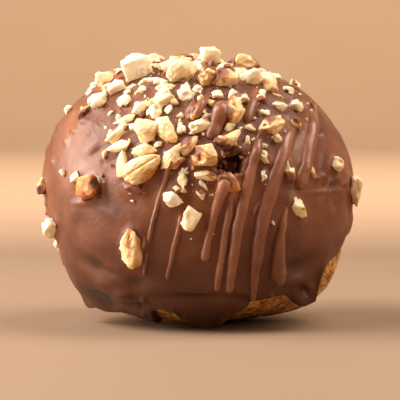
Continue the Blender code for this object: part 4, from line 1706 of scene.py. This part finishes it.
        offset = -self.sunk + (COAT_GAP + self.sunk + body) * np.sqrt(1 - back**2)
        # The pit's depth share: it sinks the coat, and also paints shade into the pit.
        hollow_and_painted_shade = PIT.share(base)
        offset -= (PIT.depth + 0.5) * hollow_and_painted_shade
        points = BALL.skin(ways, offset)
        points[:, 2] = np.maximum(points[:, 2], self.floor_clearance)
        # Painted shade: the pit and the dents are marked to be painted darker, where shade falls in them.
        marks = {"hollow_and_painted_shade": np.maximum(hollow_and_painted_shade, self.painted_shade * np.clip(-dabs, 0, 1)), "heaped": heaped}
        return points, marks

    def build(self, nuts: Nuts, drizzle: Drizzle) -> bpy.types.Object:
        """Makes the coat as one closed mesh.

        Args:
            nuts: the nuts, laid out.
            drizzle: the strands, draped.

        Returns:
            The finished piece.
        """
        outer, marks = self.outer(nuts, drizzle)
        shares = np.linspace(0.985, 0, self.inner_rows + 1)[:-1, None]
        polars = self.rim_polar(self.azimuths) * shares
        inner = BALL.skin(directions(self.azimuths, polars).reshape(-1, 3), -self.sunk)
        inner -= (inner - BALL.middle) * (0.2 * PIT.share(inner, PIT.lining))[:, None]
        top = BALL.skin(np.array(((0, 0, 1.0), (0, 0, 1.0))), np.array((COAT_OFFSET, -self.sunk)))
        points = np.vstack((top[:1], outer, inner, top[1:]))
        faces = closed_faces((len(outer) + len(inner)) // self.around, self.around)
        at_top, unmarked = {"hollow_and_painted_shade": 0, "heaped": 1}, np.zeros(len(inner) + 1)
        marks = {name: np.concatenate(([at_top[name]], mark, unmarked)) for name, mark in marks.items()}
        return mesh_object("chocolate_skin", points, faces, marks)


# --- crumbs ---------------------------------------------------------------------------------------


@dataclass
class Scatter:
    """Small pieces of nut that lie between the larger ones.

    Spacing and level, the height above the coat, are in mm, density is pieces for each square metre
    at most, and reach is in degrees from the middle of the heap. Crowd is how near a larger nut
    must be in mm for them to lie thickly.
    """

    name: str
    seed: int
    spacing: float
    density: float
    smallest: float
    largest: float
    reach: float
    level: float
    kinds: int = 6
    crowd: float = 5.0
    ground_around: int = 160
    ground_rows: int = 90
    ground_to: float = 120.0

    def chips(self, flesh: bpy.types.Material) -> bpy.types.Collection:
        """A few chips of unit size to repeat.

        Args:
            flesh: their material.

        Returns:
            A shelf of them that is no part of the scene.
        """
        draw = random.Random(self.seed)
        shelf = bpy.data.collections.new(f"{self.name}_kinds")
        ways, faces = spokes(3)
        for number in range(self.kinds):
            form = Nuts.body(Cut.SHARD, ways, draw)[0]
            body = form * (1.0, draw.uniform(0.6, 0.9), draw.uniform(0.5, 0.8))
            chip = mesh_object(f"{self.name}_kind_{number}", body, faces)
            chip.data.materials.append(flesh)
            bpy.context.scene.collection.objects.unlink(chip)
            shelf.objects.link(chip)
        return shelf

    def host(self, nuts: Nuts) -> bpy.types.Object:
        """The stretch of coat that they fall on, marked by how many lie there.

        Args:
            nuts: the larger nuts, laid out.

        Returns:
            An open mesh with the mark room.
        """
        azimuths = np.linspace(0, math.tau, self.ground_around, endpoint=False)
        polars = np.linspace(0.02, math.radians(self.ground_to), self.ground_rows)
        ways = directions(azimuths[None, :], polars[:, None]).reshape(-1, 3)
        points = BALL.skin(ways, COAT_OFFSET + self.level)
        angle = np.degrees(np.arccos(np.clip(ways @ HEAP, -1, 1)))
        places = np.array([seat.place for seat in nuts.seated])
        gaps = np.min(np.linalg.norm(points[:, None, :] - places[None], axis=2), axis=1)
        room = np.clip(1.3 - angle / self.reach, 0, 1) ** 1.5 * np.where(gaps < self.crowd, 1, 0.3)
        room *= np.clip(1 + lumpy(points, 5.0, self.seed), 0.2, 1)
        room *= PIT.share(points, 1.2) < 0.1
        faces = ring_faces(0, self.ground_rows, self.ground_around)
        return mesh_object(f"{self.name}_ground", points, faces, {"room": room})

    def build(self, nuts: Nuts, flesh: bpy.types.Material) -> bpy.types.Object:
        """Scatters them.

        Args:
            nuts: the larger nuts, laid out.
            flesh: their material.

        Returns:
            The finished piece.
        """
        shelf = self.chips(flesh)
        wire, given = new_growth(f"Scatter {self.name}", {
            "Spacing": ("Float", self.spacing * MM),
            "Density": ("Float", self.density),
            "Smallest": ("Float", self.smallest),
            "Largest": ("Float", self.largest),
            "Seed": ("Int", self.seed),
            "Chips": ("Collection", shelf),
            "Flesh": ("Material", flesh),
        })
        sizes = given.outputs
        room = wire.add("GeometryNodeInputNamedAttribute", {"Name": "room"}, data_type="FLOAT")
        spots = wire.add("GeometryNodeDistributePointsOnFaces", {
            "Mesh": sizes["Geometry"], "Distance Min": sizes["Spacing"], "Density Max": sizes["Density"],
            "Density Factor": room.outputs[0], "Seed": sizes["Seed"],
        }, distribute_method="POISSON")
        kinds = wire.add("GeometryNodeCollectionInfo", {
            "Collection": sizes["Chips"], "Separate Children": True, "Reset Children": True,
        })
        pick = wire.chance("INT", 0, self.kinds - 1, 1)
        spin = wire.chance("FLOAT_VECTOR", (0.0, 0.0, 0.0), (math.tau, math.tau, math.tau), 2)
        turned = wire.add("FunctionNodeEulerToRotation", {"Euler": spin})
        crumbs = wire.add("GeometryNodeInstanceOnPoints", {
            "Points": spots.outputs["Points"], "Instance": kinds.outputs[0], "Pick Instance": True,
            "Instance Index": pick, "Rotation": turned.outputs[0],
            "Scale": wire.chance("FLOAT", sizes["Smallest"], sizes["Largest"], 3),
        })
        shape = crumbs.outputs[0]
        for mark, low, high in (("tone", 0.0, 0.55), ("film", -0.6, 0.7)):
            shape = wire.add("GeometryNodeStoreNamedAttribute", {
                "Geometry": shape, "Name": mark, "Value": wire.chance("FLOAT", low, high, 7),
            }, data_type="FLOAT", domain="INSTANCE").outputs[0]
        made = grown(wire, shape, sizes["Flesh"], self.host(nuts), self.name)
        for chip in list(shelf.objects):
            bpy.data.objects.remove(chip)
        bpy.data.collections.remove(shelf)
        return made


# --- the studio -----------------------------------------------------------------------------------


@dataclass(frozen=True)
class Lamp:
    """A soft square lamp: where it hangs and its size in mm, its power in watts, and its aim."""

    name: str
    place: tuple[float, float, float]
    size: float
    power: float
    colour: Colour
    aim: tuple[float, float, float] = (0, 0, BALL.waist)

    def build(self) -> None:
        """Hangs the lamp, out of the camera's sight."""
        light = bpy.data.lights.new(self.name, "AREA")
        light.shape = "SQUARE"
        light.size = self.size * MM
        light.energy = self.power
        light.color = linear(self.colour)[:3]
        lamp = new_object(self.name, light)
        lamp.location = Vector(self.place) * MM
        lamp.visible_camera = False
        lamp.rotation_euler = (Vector(self.aim) - Vector(self.place)).to_track_quat("-Z", "Y").to_euler()


@dataclass
class Studio:
    """A plain pale floor that curves up all round, soft light from the upper left, and the camera."""

    around: int = 96
    flat_rings: tuple[float, ...] = (60, 200, 450)
    bend_rows: int = 16
    floor_radius: float = 1100.0
    wall_radius: float = 400.0
    wall_height: float = 1200.0
    air: Colour = (255, 240, 224)
    air_strength: float = 0.03
    sensor: float = 36.0
    lamps: tuple[Lamp, ...] = (
        Lamp("key", (-470, 20, 270), 420, 6.6, (255, 249, 242)),
        Lamp("low", (-430, -230, 70), 170, 0.6, (255, 249, 242)),
        Lamp("high", (-300, -220, 480), 260, 1.9, (255, 247, 238)),
        Lamp("top", (260, 40, 520), 340, 2.9, (255, 246, 236)),
        Lamp("fill", (460, -160, 300), 360, 1.35, (255, 240, 222)),
        Lamp("backdrop", (0, 300, 700), 500, 36.0, (255, 244, 231), (0, 1500, 500)),
    )

    def floor(self) -> None:
        """Makes the floor and its curved wall, turned round the middle."""
        bend = np.linspace(0, math.pi / 2, self.bend_rows)
        radii = np.concatenate((
            self.flat_rings, self.floor_radius + self.wall_radius * np.sin(bend),
            [self.floor_radius + self.wall_radius],
        ))
        heights = np.concatenate((
            np.zeros(len(self.flat_rings)), self.wall_radius * (1 - np.cos(bend)), [self.wall_height],
        ))
        azimuths = np.linspace(0, math.tau, self.around, endpoint=False)
        rings = np.stack((
            radii[:, None] * np.cos(azimuths), radii[:, None] * np.sin(azimuths),
            heights[:, None] + 0 * azimuths,
        ), axis=-1).reshape(-1, 3)
        faces = [(1 + k, 1 + (k + 1) % self.around, 0) for k in range(self.around)]
        faces += ring_faces(1, len(radii), self.around)
        made = mesh_object("studio_floor", np.vstack(((0, 0, 0), rings)), faces)
        made.data.materials.append(Backdrop().material())

    def camera(self) -> None:
        """Sets the camera at the photo's angle."""
        camera = bpy.data.cameras.new("camera")
        camera.sensor_width = self.sensor
        camera.lens = self.sensor * EYE_DISTANCE / SEEN_WIDTH
        camera.clip_start, camera.clip_end = 0.01, 10
        eye = new_object("camera", camera)
        fore = Vector((0, -math.cos(EYE_ELEVATION), math.sin(EYE_ELEVATION)))
        eye.location = (Vector((0, 0, AIM_HEIGHT)) + fore * EYE_DISTANCE) * MM
        eye.rotation_euler = (-fore).to_track_quat("-Z", "Y").to_euler()
        bpy.context.scene.camera = eye

    def build(self) -> None:
        """Makes the floor, the light and the camera."""
        self.floor()
        for lamp in self.lamps:
            lamp.build()
        world = bpy.data.worlds.new("studio_air")
        world.use_nodes = True
        air = world.node_tree.nodes["Background"]
        air.inputs["Color"].default_value = linear(self.air)
        air.inputs["Strength"].default_value = self.air_strength
        bpy.context.scene.world = world
        bpy.context.scene.view_settings.view_transform = "Standard"
        self.camera()


# --- putting it together --------------------------------------------------------------------------


def declare(piece: bpy.types.Object, slot: str, *nodes: str) -> None:
    """Puts a piece on the root body, hides the solids that it stands for, and reports its triangles.

    Args:
        piece: a finished piece, which rides on the root body.
        slot: its finish, which is not used.
        nodes: the solids that it stands for.
    """
    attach(piece, "root")
    if nodes:
        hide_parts(*nodes)
    triangles = sum(len(face.vertices) - 2 for face in piece.data.polygons)
    log.info("%s: %d triangles", piece.name, triangles)


def main() -> None:
    """Builds the doughnut from the dough outwards, then the studio."""
    logging.basicConfig(level=logging.INFO, format="%(name)s: %(message)s")
    chocolate, flesh = Chocolate().material(), NutFlesh().material()
    dough = Dough().build()
    dough.data.materials.append(FriedDough().material())
    nuts = Nuts()
    nuts.lay_out()
    nut_pieces, nut_tree = nuts.build()
    drizzle = Drizzle()
    drizzle.drape(nut_tree)
    coat = Coat().build(nuts, drizzle)
    coat.data.materials.append(chocolate)
    strands = drizzle.build(DRIZZLED.material())
    litter = [
        Scatter("nut_bits", 23, 2.1, 90000.0, 1.3, 2.7, 48.0, 0.35).build(nuts, flesh),
        Scatter("nut_crumbs", 11, 1.2, 160000.0, 0.4, 1.2, 54.0, 0.15).build(nuts, flesh),
    ]
    declare(dough, "dough", "dough")
    declare(coat, "chocolate", "chocolate_coat")
    declare(strands, "chocolate", "chocolate_coat")
    for piece in nut_pieces:
        piece.data.materials.append(flesh)
        declare(piece, "nut", "chocolate_coat")
    for piece in litter:
        declare(piece, "nut")
    Studio().build()


if __name__ == "__main__":
    main()
